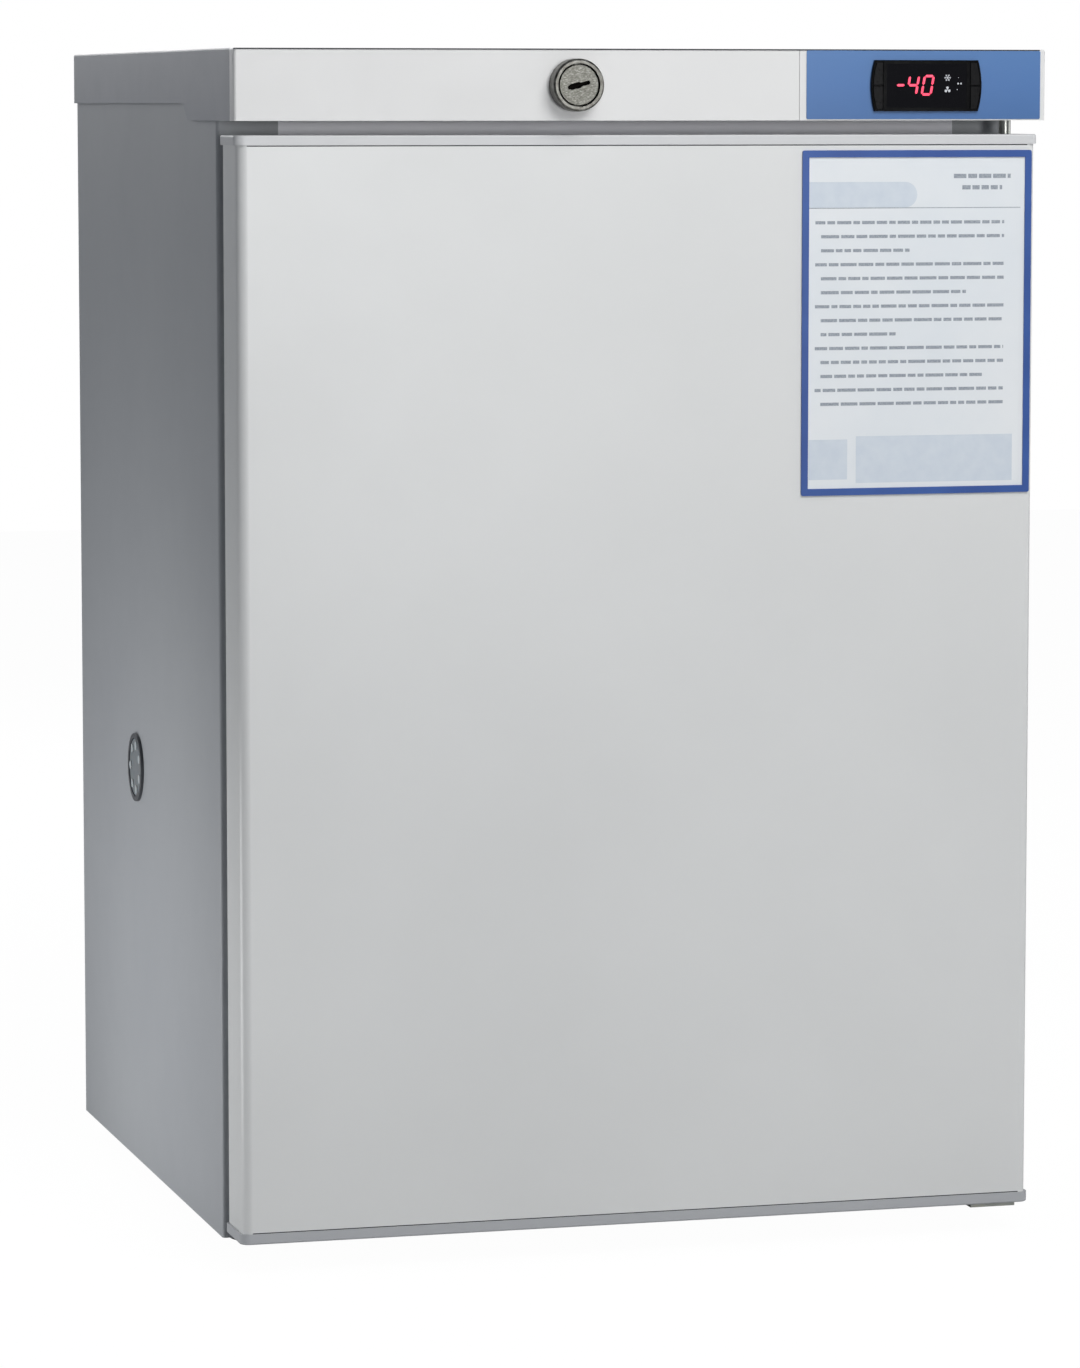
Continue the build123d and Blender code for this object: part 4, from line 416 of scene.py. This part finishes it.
plug_nickel, tree, shader, place = new_material("scratched nickel of the plug", "#76766f", 0.4, 1.0)
scratches = mottle(tree, place, 0.6, 4, (0.4, 1, 1))
plug_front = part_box("lock_plug")[0].y
keyway_shade_start, keyway_shade_end = 0.0001, 0.0004
# Painted shade: near black from 0.1 to 0.4 mm behind the plug's face, inside the keyway
keyway_shade = along(tree, place, "Y", plug_front + keyway_shade_start, plug_front + keyway_shade_end)
polished = tint(tree, shader, scratches, (0.35, "#5e5d57"), (0.6, "#7a7a74"), (0.72, "#a3a39d"))
coat_over(tree, shader, keyway_shade, polished, "#0b0a09")
sheen(tree, shader, mottle(tree, place, 2.2, 6), 0.3, 0.55)
relief(tree, shader, scratches, 0.04, 0.6)
dress(plug_nickel, "lock_plug")

# Zinc-plated steel: the hinges are bent plates screwed to the cabinet, and the bolts and
# inserts are turned. The plating is bright, with a faint yellow cast in blotches.
zinc, tree, shader, place = new_material("bright zinc plating", "#aeb0ab", 0.32, 1.0)
tint(tree, shader, mottle(tree, place, 9, 4), (0.3, "#a3a69f"), (0.6, "#b6b8b2"), (0.8, "#bdb9a2"))
sheen(tree, shader, mottle(tree, place, 4, 3), 0.24, 0.44)
relief(tree, shader, mottle(tree, place, 0.3, 3), 0.012, 0.4)
dress(zinc, "upper_hinge", "lower_hinge", "compressor_bolts", "foot_inserts")

# Instruction frame and sheet: a printed blue border stuck to the door, round a sheet of
# laminated paper. The border is glossy, and the laminate is softer in its shine.
frame_blue, tree, shader, place = new_material("blue border of the instruction sheet", "#2c4f96", 0.35)
tint(tree, shader, mottle(tree, place, 45, 3), (0.3, "#2a4c92"), (0.7, "#32589f"))
relief(tree, shader, mottle(tree, place, 0.5, 2), 0.01, 0.3)
dress(frame_blue, "instruction_frame")

sheet_white, tree, shader, place = new_material("laminated paper", "#e0e4e7", 0.45)
tint(tree, shader, mottle(tree, place, 60, 3), (0.3, "#dde2e6"), (0.7, "#e4e7e9"))
relief(tree, shader, mottle(tree, place, 0.6, 4), 0.01, 0.4)
dress(sheet_white, "instruction_sheet")

# Printing on the sheet: rows of short dashes that stand for words, a rule, a pale header
# tab and a footer band. Nothing on it can be read.
def oblong(left, low, right, high):
    """A rectangle as an outline."""
    return [(left, low), (right, low), (right, high), (left, high)]


ink_grey, tree, shader, place = new_material("grey ink", "#8d949c", 0.6)
tint(tree, shader, mottle(tree, place, 1.1, 3), (0.35, "#878e97"), (0.7, "#a9b0b8"))
ink_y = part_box("instruction_sheet")[0].y - 0.00001
ink_depth = 0.00003
first_row, row_pitch, row_count = 0.6825, 0.0092, 14
dash_height, dash_gap, dash_lengths = 0.0021, 0.0014, (0.004, 0.013)
paragraph_left, line_left, full_line, last_lines = 0.1172, 0.1212, 0.128, (0.03, 0.115)
title_rows = ((0.7125, 0.2135, 0.2535), (0.7050, 0.2195, 0.2475))
title_height, title_gap, title_lengths = 0.0028, 0.0013, (0.004, 0.009)
draw = random.Random(7)
words = []
for row in range(row_count):
    z = first_row - row * row_pitch
    x = line_left if row % 3 else paragraph_left
    limit = line_left + (full_line if row % 3 != 2 else draw.uniform(*last_lines))
    while x < limit:
        end = min(x + draw.uniform(*dash_lengths), limit)
        words.append(oblong(x, z, end, z + dash_height))
        x = end + dash_gap
for z, x, limit in title_rows:
    while x < limit:
        end = min(x + draw.uniform(*title_lengths), limit)
        words.append(oblong(x, z, end, z + title_height))
        x = end + title_gap
words.append(oblong(0.1125, 0.6928, 0.2605, 0.6933))
print_rows = add_piece(
    "sheet_print", raised_shapes("sheet_print", words, ink_y, ink_depth), ink_grey
)
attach(print_rows, "door")

ink_pale, tree, shader, place = new_material("pale blue ink", "#ccd5de", 0.55)
tint(tree, shader, mottle(tree, place, 8, 3), (0.3, "#c9d2dc"), (0.7, "#d0d8e0"))
tab_left, tab_right, tab_middle, tab_radius = 0.1128, 0.1795, 0.7017, 0.0085
tab = [(tab_left, tab_middle - tab_radius)]
tab += arc(tab_right, tab_middle, tab_radius, range(-90, 91, 15))
tab.append((tab_left, tab_middle + tab_radius))
blocks = [tab, oblong(0.1462, 0.5115, 0.2560, 0.5425), oblong(0.1132, 0.5140, 0.1402, 0.5405)]
print_blocks = add_piece(
    "sheet_bands", raised_shapes("sheet_bands", blocks, ink_y, ink_depth), ink_pale
)
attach(print_blocks, "door")

# Door gasket: an extruded bellows of soft PVC with a magnet in its outer bead, welded at
# mitred corners and pushed on round the door's inner panel. It is nearly black and dull.
soft_vinyl, tree, shader, place = new_material("dark grey soft vinyl", "#16171a", 0.6)
tint(tree, shader, mottle(tree, place, 20, 4), (0.3, "#131417"), (0.7, "#1d1e22"))
sheen(tree, shader, mottle(tree, place, 6, 3), 0.45, 0.68)
relief(tree, shader, mottle(tree, place, 0.6, 3), 0.03, 0.4)
# Its section: each point is millimetres in from the outer edge and a share of the depth
bellows = [
    (1.6, 0.0), (0.4, 0.09), (0.5, 0.24), (3.4, 0.36), (3.8, 0.44), (1.0, 0.54), (0.1, 0.66),
    (0.3, 0.88), (1.4, 0.99), (8.0, 1.0), (14.2, 0.99), (15.4, 0.9), (15.7, 0.74), (12.8, 0.63),
    (12.4, 0.53), (16.4, 0.43), (19.5, 0.3), (19.9, 0.14), (18.8, 0.0),
]
seal_low, seal_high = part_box("door_gasket")
corners, faces = [], []
for inset, share in bellows:
    cut = inset / 1000
    y = seal_low.y + share * (seal_high.y - seal_low.y)
    corners += [
        (seal_low.x + cut, y, seal_low.z + cut), (seal_high.x - cut, y, seal_low.z + cut),
        (seal_high.x - cut, y, seal_high.z - cut), (seal_low.x + cut, y, seal_high.z - cut),
    ]
for i in range(len(bellows)):
    j = (i + 1) % len(bellows)
    for side in range(4):
        turn = (side + 1) % 4
        faces.append((4 * i + side, 4 * j + side, 4 * j + turn, 4 * i + turn))
gasket = add_piece("gasket_bellows", mesh_of("gasket_bellows", corners, faces), soft_vinyl)
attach(gasket, "door")
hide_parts("door_gasket")

# Access port: a moulded sleeve pressed through the wall, and a soft silicone stopper in it
# with rounded pads. The pad faces are painted pale as light and the hollows dark as shade.
port_moulding, tree, shader, place = new_material("dark moulded port ring", "#4a4c50", 0.42)
sheen(tree, shader, mottle(tree, place, 7, 3), 0.34, 0.52)
relief(tree, shader, mottle(tree, place, 0.4, 3), 0.015, 0.4)
dress(port_moulding, "port_sleeve")

silicone, tree, shader, place = new_material("grey silicone", "#aab0b3", 0.5, Subsurface_Weight=0.05)
sheen(tree, shader, mottle(tree, place, 9, 3), 0.42, 0.6)
relief(tree, shader, mottle(tree, place, 0.5, 3), 0.02, 0.4)
stopper_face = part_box("port_plug")[0].x
pad_depth = 0.0012
pad_depth_shade = along(tree, place, "X", stopper_face, stopper_face + pad_depth)
# Painted light and shade: pale at the pad faces, darker deeper into the hollows between them
tint(tree, shader, pad_depth_shade, (0.0, "#b4b9bb"), (0.35, "#9ea4a7"), (0.6, "#55595d"))
dress(silicone, "port_plug")

# Feet: moulded pads under zinc-plated stems that screw into the base. The thread is drawn
# at 3 mm, coarser than the real one, so that it shows.
foot_moulding, tree, shader, place = new_material("black moulded foot", "#17171a", 0.5)
pad_top, thread_start, thread_millimetres, thread_depth = 0.00705, 0.012, 3, 0.8
pad_shade = tint(tree, shader, mottle(tree, place, 10, 4), (0.35, "#141416"), (0.7, "#26272a"))
height = add_node(tree, "ShaderNodeSeparateXYZ", {"Vector": place}).outputs["Z"]
plated = add_node(tree, "ShaderNodeMath", {0: height, 1: pad_top}, operation="GREATER_THAN").outputs[0]
coat_over(tree, shader, plated, pad_shade, "#a8a9a2")
tree.links.new(plated, shader.inputs["Metallic"])
sheen(tree, shader, mottle(tree, place, 4, 3), 0.42, 0.62)
waves = add_node(
    tree, "ShaderNodeTexWave",
    {"Vector": place, "Scale": 2 * math.pi / 20 * 1000 / thread_millimetres}, bands_direction="Z",
)
threaded = add_node(tree, "ShaderNodeMath", {0: height, 1: thread_start}, operation="GREATER_THAN")
thread = add_node(
    tree, "ShaderNodeMath", {0: threaded.outputs[0], 1: waves.outputs["Fac"]}, operation="MULTIPLY"
)
relief(tree, shader, thread.outputs[0], thread_depth, 1.0)
dress(foot_moulding, "foot_front_left", "foot_front_right", "foot_rear_left", "foot_rear_right")

# Evaporator shelves: roll-bonded aluminium plates with the refrigerant's channel blown up
# inside, laid on the liner's ledges. Rolling left fine lines along the plates.
mill_aluminium, tree, shader, place = new_material("mill-finish aluminium", "#c3c6c8", 0.36, 1.0)
lines = mottle(tree, place, 1.2, 4, (0.02, 1, 1))
tint(tree, shader, lines, (0.3, "#babdc0"), (0.7, "#cbced0"))
sheen(tree, shader, lines, 0.28, 0.46)
relief(tree, shader, lines, 0.01, 0.4)
dress(mill_aluminium, "evaporator_shelf_lower", "evaporator_shelf_middle", "evaporator_shelf_upper")

# Temperature probe: a drawn stainless tube, bright with faint lines round it
probe_steel, tree, shader, place = new_material("drawn stainless tube", "#b3b6b8", 0.28, 1.0)
sheen(tree, shader, mottle(tree, place, 0.8, 3, (1, 1, 0.05)), 0.2, 0.36)
dress(probe_steel, "temperature_probe")

# Compressor: two drawn steel shells welded together and dipped in black stove enamel, which
# is glossy and a little uneven. It stands on rubber grommets, bolted to its plate.
stove_enamel, tree, shader, place = new_material("black stove enamel", "#0d0d0e", 0.3)
tint(tree, shader, mottle(tree, place, 30, 4), (0.35, "#0b0b0c"), (0.75, "#18191b"))
sheen(tree, shader, mottle(tree, place, 12, 4), 0.22, 0.42)
relief(tree, shader, mottle(tree, place, 1.8, 3), 0.08, 0.4)
dress(stove_enamel, "compressor")

# The relay's cover and the condenser's clips are moulded in a dull dark grey
grey_box, tree, shader, place = new_material("dark grey relay moulding", "#3a3b3e", 0.5)
sheen(tree, shader, mottle(tree, place, 8, 3), 0.42, 0.6)
relief(tree, shader, mottle(tree, place, 0.6, 3), 0.03, 0.5)
dress(grey_box, "terminal_cover", "condenser_clips")

# The grommets' rubber is matt, and dust has greyed it in places
grommet, tree, shader, place = new_material("black grommet rubber", "#141415", 0.7)
tint(tree, shader, mottle(tree, place, 5, 4), (0.35, "#111112"), (0.7, "#222224"))
relief(tree, shader, mottle(tree, place, 0.8, 4), 0.05, 0.5)
dress(grommet, "compressor_grommets")

# Filter drier: a copper bottle, spun down at both ends. Brazing left brown bloom on it.
copper, tree, shader, place = new_material("drawn copper with brown bloom", "#b87350", 0.32, 1.0)
bloom = mottle(tree, place, 14, 5)
tint(tree, shader, bloom, (0.3, "#8f5438"), (0.5, "#b46e4a"), (0.75, "#cb8a63"))
sheen(tree, shader, bloom, 0.22, 0.5)
dress(copper, "filter_drier")

# Power inlet: a black moulded socket body, snapped into the tab of the compressor's plate
inlet_black, tree, shader, place = new_material("black inlet moulding", "#121213", 0.45)
sheen(tree, shader, mottle(tree, place, 4, 3), 0.36, 0.55)
relief(tree, shader, mottle(tree, place, 0.4, 3), 0.015, 0.5)
dress(inlet_black, "power_inlet")


# Condenser: a black steel tube bent to and fro in ten runs, with upright wires spot-welded
# to its front and back, clipped to the back sheet. One tree rounds any tube at its corners.
def new_tree(name, *inputs):
    """Starts a Geometry Nodes tree with named inputs and gives their socket identifiers."""
    tree = bpy.data.node_groups.new(name, "GeometryNodeTree")
    tree.interface.new_socket("Geometry", in_out="INPUT", socket_type="NodeSocketGeometry")
    tree.interface.new_socket("Geometry", in_out="OUTPUT", socket_type="NodeSocketGeometry")
    names = {}
    for label, kind in inputs:
        made = tree.interface.new_socket(label, in_out="INPUT", socket_type="NodeSocket" + kind)
        names[label] = made.identifier
    return tree, names, add_node(tree, "NodeGroupInput")


def close_tree(tree, entry, geometry):
    """Ends a tree: everything is made real, smooth and given the material."""
    real = add_node(tree, "GeometryNodeRealizeInstances", {"Geometry": geometry})
    smooth = add_node(tree, "GeometryNodeSetShadeSmooth", {"Geometry": real.outputs[0]})
    dressed = add_node(
        tree, "GeometryNodeSetMaterial",
        {"Geometry": smooth.outputs[0], "Material": entry.outputs["Material"]},
    )
    add_node(tree, "NodeGroupOutput", {"Geometry": dressed.outputs[0]})


def run_tree(piece, tree, names, **values):
    """Puts a tree on a piece, sets its named inputs and keeps the mesh that it makes."""
    modifier = piece.modifiers.new("nodes", "NODES")
    modifier.node_group = tree
    for label, value in values.items():
        modifier[names[label.replace("_", " ")]] = value
    graph = bpy.context.evaluated_depsgraph_get()
    made = bpy.data.meshes.new_from_object(piece.evaluated_get(graph), depsgraph=graph)
    piece.modifiers.clear()
    piece.data = made


def path_piece(name, points):
    """An object that is only a line through points, for a tree to dress."""
    made = bpy.data.meshes.new(name)
    made.from_pydata(points, [(i, i + 1) for i in range(len(points) - 1)], [])
    piece = bpy.data.objects.new(name, made)
    bpy.context.scene.collection.objects.link(piece)
    return piece


tube_tree, tube_names, entry = new_tree(
    "tube along corners",
    ("Radius", "Float"), ("Bend", "Float"), ("Sides", "Int"), ("Material", "Material"),
)
line = add_node(tube_tree, "GeometryNodeMeshToCurve", {"Mesh": entry.outputs["Geometry"]})
rounded = add_node(
    tube_tree, "GeometryNodeFilletCurve",
    {"Curve": line.outputs[0], "Radius": entry.outputs["Bend"], "Limit Radius": True, "Count": 10},
    mode="POLY",
)
ring = add_node(
    tube_tree, "GeometryNodeCurvePrimitiveCircle",
    {"Radius": entry.outputs["Radius"], "Resolution": entry.outputs["Sides"]},
)
skin = add_node(
    tube_tree, "GeometryNodeCurveToMesh",
    {"Curve": rounded.outputs[0], "Profile Curve": ring.outputs[0], "Fill Caps": True},
)
close_tree(tube_tree, entry, skin.outputs[0])

tube_low, tube_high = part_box("condenser_tube")
tube_radius, tube_reach, tube_runs, bend_slack = 0.0024, 0.224, 10, 0.00001
tube_y = (tube_low.y + tube_high.y) / 2
run_pitch = (tube_high.z - tube_low.z - 2 * tube_radius) / (tube_runs - 1)
turns = []
for run in range(tube_runs):
    z = tube_low.z + tube_radius + run * run_pitch
    start = -tube_reach if run % 2 == 0 else tube_reach
    turns += [(start, tube_y, z), (-start, tube_y, z)]
condenser = path_piece("condenser_serpentine", turns)
run_tree(
    condenser, tube_tree, tube_names,
    Radius=tube_radius, Bend=run_pitch / 2 - bend_slack, Sides=16, Material=stove_enamel,
)
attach(condenser, "root")
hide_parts("condenser_tube")

wire_tree, wire_names, entry = new_tree(
    "two rows of wires", ("Count", "Int"), ("Pitch", "Vector"), ("Start", "Vector"),
    ("Row gap", "Vector"), ("Length", "Float"), ("Radius", "Float"), ("Material", "Material"),
)
row = add_node(
    wire_tree, "GeometryNodeMeshLine",
    {"Count": entry.outputs["Count"], "Start Location": entry.outputs["Start"],
     "Offset": entry.outputs["Pitch"]},
)
second = add_node(
    wire_tree, "GeometryNodeTransform",
    {"Geometry": row.outputs[0], "Translation": entry.outputs["Row gap"]},
)
both = add_node(wire_tree, "GeometryNodeJoinGeometry", {"Geometry": row.outputs[0]})
wire_tree.links.new(second.outputs[0], both.inputs["Geometry"])
wire = add_node(
    wire_tree, "GeometryNodeMeshCylinder",
    {"Vertices": 12, "Side Segments": 1, "Radius": entry.outputs["Radius"],
     "Depth": entry.outputs["Length"]},
)
wires = add_node(
    wire_tree, "GeometryNodeInstanceOnPoints",
    {"Points": both.outputs[0], "Instance": wire.outputs[0]},
)
close_tree(wire_tree, entry, wires.outputs[0])

wire_low, wire_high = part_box("condenser_wires")
wire_radius, wire_count, weld_share = 0.00085, 36, 0.87
wire_span = wire_high.x - wire_low.x - 2 * wire_radius
wire_offset = tube_radius + wire_radius * weld_share
grid = path_piece("condenser_grid", [(0, 0, 0), (0, 0, 0.001)])
run_tree(
    grid, wire_tree, wire_names, Count=wire_count, Pitch=(wire_span / (wire_count - 1), 0, 0),
    Start=(-wire_span / 2, tube_y - wire_offset, (wire_low.z + wire_high.z) / 2),
    Row_gap=(0, 2 * wire_offset, 0), Length=wire_high.z - wire_low.z, Radius=wire_radius,
    Material=stove_enamel,
)
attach(grid, "root")
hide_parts("condenser_wires")

# Refrigerant lines: bent copper tubes brazed to the compressor, the drier and the condenser,
# the thin capillary, and the risers that join the three shelves inside the chamber.
drier_low, drier_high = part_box("filter_drier")
shell_low, shell_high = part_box("compressor")
shelf_names = ("evaporator_shelf_lower", "evaporator_shelf_middle", "evaporator_shelf_upper")
shelf_ports = [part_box(name)[0].z + 0.009 for name in shelf_names]
shelf_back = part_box("evaporator_shelf_lower")[1].y - 0.018
lowest_run, highest_run = turns[0][2], turns[-1][2]
drier_x = (drier_low.x + drier_high.x) / 2
discharge_x = (shell_low.x + shell_high.x) / 2 - 0.022
suction_x = (shell_low.x + shell_high.x) / 2 + 0.022
shell_port_y, discharge_z, suction_z = 0.2495, 0.1016, 0.0832
wall_y, suction_wall_x, suction_wall_z = 0.101, 0.062, 0.191
up_x, up_z = -0.254, drier_low.z - 0.025
capillary_x, capillary_low_z, capillary_wall_z = drier_x + 0.015, drier_low.z - 0.01, 0.181
riser_x, riser_y, feed_y = 0.1755, 0.172, 0.176
pipe_bend, pipe_sides = 0.005, 16
routes = {
    "discharge_line": (0.0026, [
        (discharge_x, shell_port_y, discharge_z), (discharge_x, tube_y, discharge_z),
        (discharge_x, tube_y, up_z), (up_x, tube_y, up_z),
        (up_x, tube_y, highest_run), (-tube_reach, tube_y, highest_run)]),
    "liquid_line": (0.0026, [
        (-tube_reach, tube_y, lowest_run), (drier_x, tube_y, lowest_run),
        (drier_x, tube_y, drier_high.z)]),
    "capillary": (0.0011, [
        (drier_x, tube_y, drier_low.z), (drier_x, tube_y, capillary_low_z),
        (capillary_x, tube_y, capillary_low_z), (capillary_x, tube_y, capillary_wall_z),
        (capillary_x, wall_y, capillary_wall_z)]),
    "suction_line": (0.004, [
        (suction_wall_x, wall_y, suction_wall_z), (suction_wall_x, tube_y, suction_wall_z),
        (suction_x, tube_y, suction_wall_z), (suction_x, tube_y, suction_z),
        (suction_x, shell_port_y, suction_z)]),
    "lower_riser": (0.003, [
        (-riser_x, shelf_back, shelf_ports[0]), (-riser_x, riser_y, shelf_ports[0]),
        (-riser_x, riser_y, shelf_ports[1]), (-riser_x, shelf_back, shelf_ports[1])]),
    "upper_riser": (0.003, [
        (riser_x, shelf_back, shelf_ports[1]), (riser_x, riser_y, shelf_ports[1]),
        (riser_x, riser_y, shelf_ports[2]), (riser_x, shelf_back, shelf_ports[2])]),
    "feed_tube": (0.003, [(riser_x, shelf_back, shelf_ports[0]), (riser_x, feed_y, shelf_ports[0])]),
}
for name, (radius, points) in routes.items():
    pipe = path_piece(name, points)
    run_tree(
        pipe, tube_tree, tube_names,
        Radius=radius, Bend=pipe_bend, Sides=pipe_sides, Material=copper,
    )
    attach(pipe, "root")
    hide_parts("refrigerant_lines")

# Harness: one grey PVC jacket, extruded round the wires that run from the controller over the
# chamber and down the back to the mains inlet. It has a dull, slightly mottled shine.
jacket, tree, shader, place = new_material("grey PVC jacket", "#5b5d60", 0.5)
tint(tree, shader, mottle(tree, place, 12, 4), (0.3, "#535558"), (0.7, "#626467"))
sheen(tree, shader, mottle(tree, place, 5, 3), 0.42, 0.6)
relief(tree, shader, mottle(tree, place, 0.7, 3), 0.03, 0.4)
harness_radius, harness_bend = 0.0035, 0.008
harness = path_piece("jacketed_harness", [
    (0.1909, -0.2145, 0.7733), (0.1909, -0.1445, 0.7733), (0.1909, -0.1045, 0.7572),
    (0.1909, 0.181, 0.7572), (0.258, 0.211, 0.7572), (0.258, 0.253, 0.7572),
    (0.258, 0.253, 0.112), (0.190, 0.2263, 0.082), (0.190, 0.2513, 0.082),
])
run_tree(
    harness, tube_tree, tube_names,
    Radius=harness_radius, Bend=harness_bend, Sides=20, Material=jacket,
)
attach(harness, "root")
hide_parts("wiring_harness")

# Rear screws: zinc-plated pan heads with a cross recess, each driven home at its own angle.
# Known fault: they are level with the ends of the back's flanges, 20 mm behind its sheet.
screw_tree, screw_names, entry = new_tree(
    "driven pan screws", ("Radius", "Float"), ("Height", "Float"), ("Turn", "Vector"),
    ("Seed", "Int"), ("Material", "Material"),
)
radius, height = entry.outputs["Radius"], entry.outputs["Height"]
crown_share, slot_length_share, slot_width_share = 0.6, 1.05, 0.24
crown, slot_length, slot_width = [
    add_node(screw_tree, "ShaderNodeMath", {0: radius, 1: share}, operation="MULTIPLY").outputs[0]
    for share in (crown_share, slot_length_share, slot_width_share)
]
head = add_node(
    screw_tree, "GeometryNodeMeshCone",
    {"Vertices": 28, "Radius Top": crown, "Radius Bottom": radius, "Depth": height},
)
recessed = add_node(
    screw_tree, "GeometryNodeMeshBoolean", {"Mesh 1": head.outputs["Mesh"]}, operation="DIFFERENCE"
)
lift = add_node(screw_tree, "ShaderNodeCombineXYZ", {"Z": height})
for x_size, y_size in ((slot_length, slot_width), (slot_width, slot_length)):
    size = add_node(screw_tree, "ShaderNodeCombineXYZ", {"X": x_size, "Y": y_size, "Z": height})
    block = add_node(screw_tree, "GeometryNodeMeshCube", {"Size": size.outputs[0]})
    slot = add_node(
        screw_tree, "GeometryNodeTransform",
        {"Geometry": block.outputs[0], "Translation": lift.outputs[0]},
    )
    screw_tree.links.new(slot.outputs[0], recessed.inputs["Mesh 2"])
facing_back = add_node(
    screw_tree, "GeometryNodeTransform",
    {"Geometry": recessed.outputs["Mesh"], "Rotation": (-math.pi / 2, 0, 0)},
)
spin = add_node(
    screw_tree, "FunctionNodeRandomValue",
    {"Max": entry.outputs["Turn"], "Seed": entry.outputs["Seed"]}, data_type="FLOAT_VECTOR",
)
driven = add_node(
    screw_tree, "GeometryNodeInstanceOnPoints",
    {"Points": entry.outputs["Geometry"], "Instance": facing_back.outputs[0],
     "Rotation": spin.outputs["Value"]},
)
close_tree(screw_tree, entry, driven.outputs[0])
back_low, back_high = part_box("back_panel")
screw_inset, screw_radius, screw_height = 0.009, 0.0038, 0.0018
spots = [
    (x, back_high.y, z)
    for x in (back_low.x + screw_inset, 0, back_high.x - screw_inset)
    for z in (back_low.z + screw_inset, back_high.z - screw_inset)
]
screws = path_piece("rear_screws", spots)
run_tree(
    screws, screw_tree, screw_names,
    Radius=screw_radius, Height=screw_height, Turn=(0, math.pi, 0), Seed=3, Material=zinc,
)
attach(screws, "root")

# Floor and room: a matt pale floor that looks nearly white to the camera but throws little
# light back, under a dim bluish room with white paper all round.
reach = 6
floor_corners = [(-reach, -reach, 0), (reach, -reach, 0), (reach, reach, 0), (-reach, reach, 0)]
floor_paint = bpy.data.materials.new("pale studio floor")
floor_paint.use_nodes = True
tree = floor_paint.node_tree
tree.nodes.clear()
matt = add_node(tree, "ShaderNodeBsdfDiffuse", {"Color": linear("#c6c6c6")})
white = add_node(tree, "ShaderNodeEmission", {"Color": (1, 1, 1, 1), "Strength": 1.04})
seen = add_node(tree, "ShaderNodeLightPath").outputs["Is Camera Ray"]
share = add_node(tree, "ShaderNodeMath", {0: seen, 1: 0.94}, operation="MULTIPLY").outputs[0]
mixed = add_node(
    tree, "ShaderNodeMixShader", {0: share, 1: matt.outputs[0], 2: white.outputs[0]}
)
add_node(tree, "ShaderNodeOutputMaterial", {"Surface": mixed.outputs[0]})
floor = add_piece("floor", mesh_of("floor", floor_corners, [(0, 1, 2, 3)]), floor_paint)

world = bpy.data.worlds.new("studio")
bpy.context.scene.world = world
world.use_nodes = True
tree = world.node_tree
tree.nodes.clear()
seen = add_node(tree, "ShaderNodeLightPath").outputs["Is Camera Ray"]
room = add_node(tree, "ShaderNodeBackground", {"Color": linear("#cfd6e2"), "Strength": 0.2})
paper = add_node(tree, "ShaderNodeBackground", {"Color": (1, 1, 1, 1), "Strength": 1.0})
mixed = add_node(tree, "ShaderNodeMixShader", {0: seen, 1: room.outputs[0], 2: paper.outputs[0]})
add_node(tree, "ShaderNodeOutputWorld", {"Surface": mixed.outputs[0]})


# Lights and camera: soft lamps high and level in front, a low one at the left that lifts the
# foot of the side, weaker ones at the right and behind, and a long lens.
def soft_light(name, position, target, size, power):
    """A large square lamp that faces a place."""
    lamp = bpy.data.lights.new(name, "AREA")
    lamp.shape = "SQUARE"
    lamp.size = size
    lamp.energy = power
    made = bpy.data.objects.new(name, lamp)
    made.location = position
    made.rotation_euler = (Vector(target) - Vector(position)).to_track_quat("-Z", "Y").to_euler()
    bpy.context.scene.collection.objects.link(made)


soft_light("key", (0.35, -1.6, 1.85), (0, -0.27, 0.68), 1.1, 24)
soft_light("front", (0.35, -3.3, 0.746), (0, -0.27, 0.746), 0.45, 19)
soft_light("left_low", (-0.76, 0.05, 0.08), (-0.27, 0.05, 0.04), 0.35, 2.2)
soft_light("right", (2.6, -0.4, 1.2), (0, 0, 0.4), 1.4, 14)
soft_light("back", (-0.6, 2.6, 1.6), (0, 0.2, 0.4), 1.6, 26)

lens = bpy.data.cameras.new("camera")
lens.sensor_width = 36
lens.lens = 144.74
lens.clip_end = 60
camera = bpy.data.objects.new("camera", lens)
camera.location = (-1.02593, -3.71435, 0.76169)
camera.rotation_euler = (math.pi / 2 - 0.10517, 0, -0.26996)
bpy.context.scene.collection.objects.link(camera)
bpy.context.scene.camera = camera
bpy.context.scene.view_settings.view_transform = "Standard"
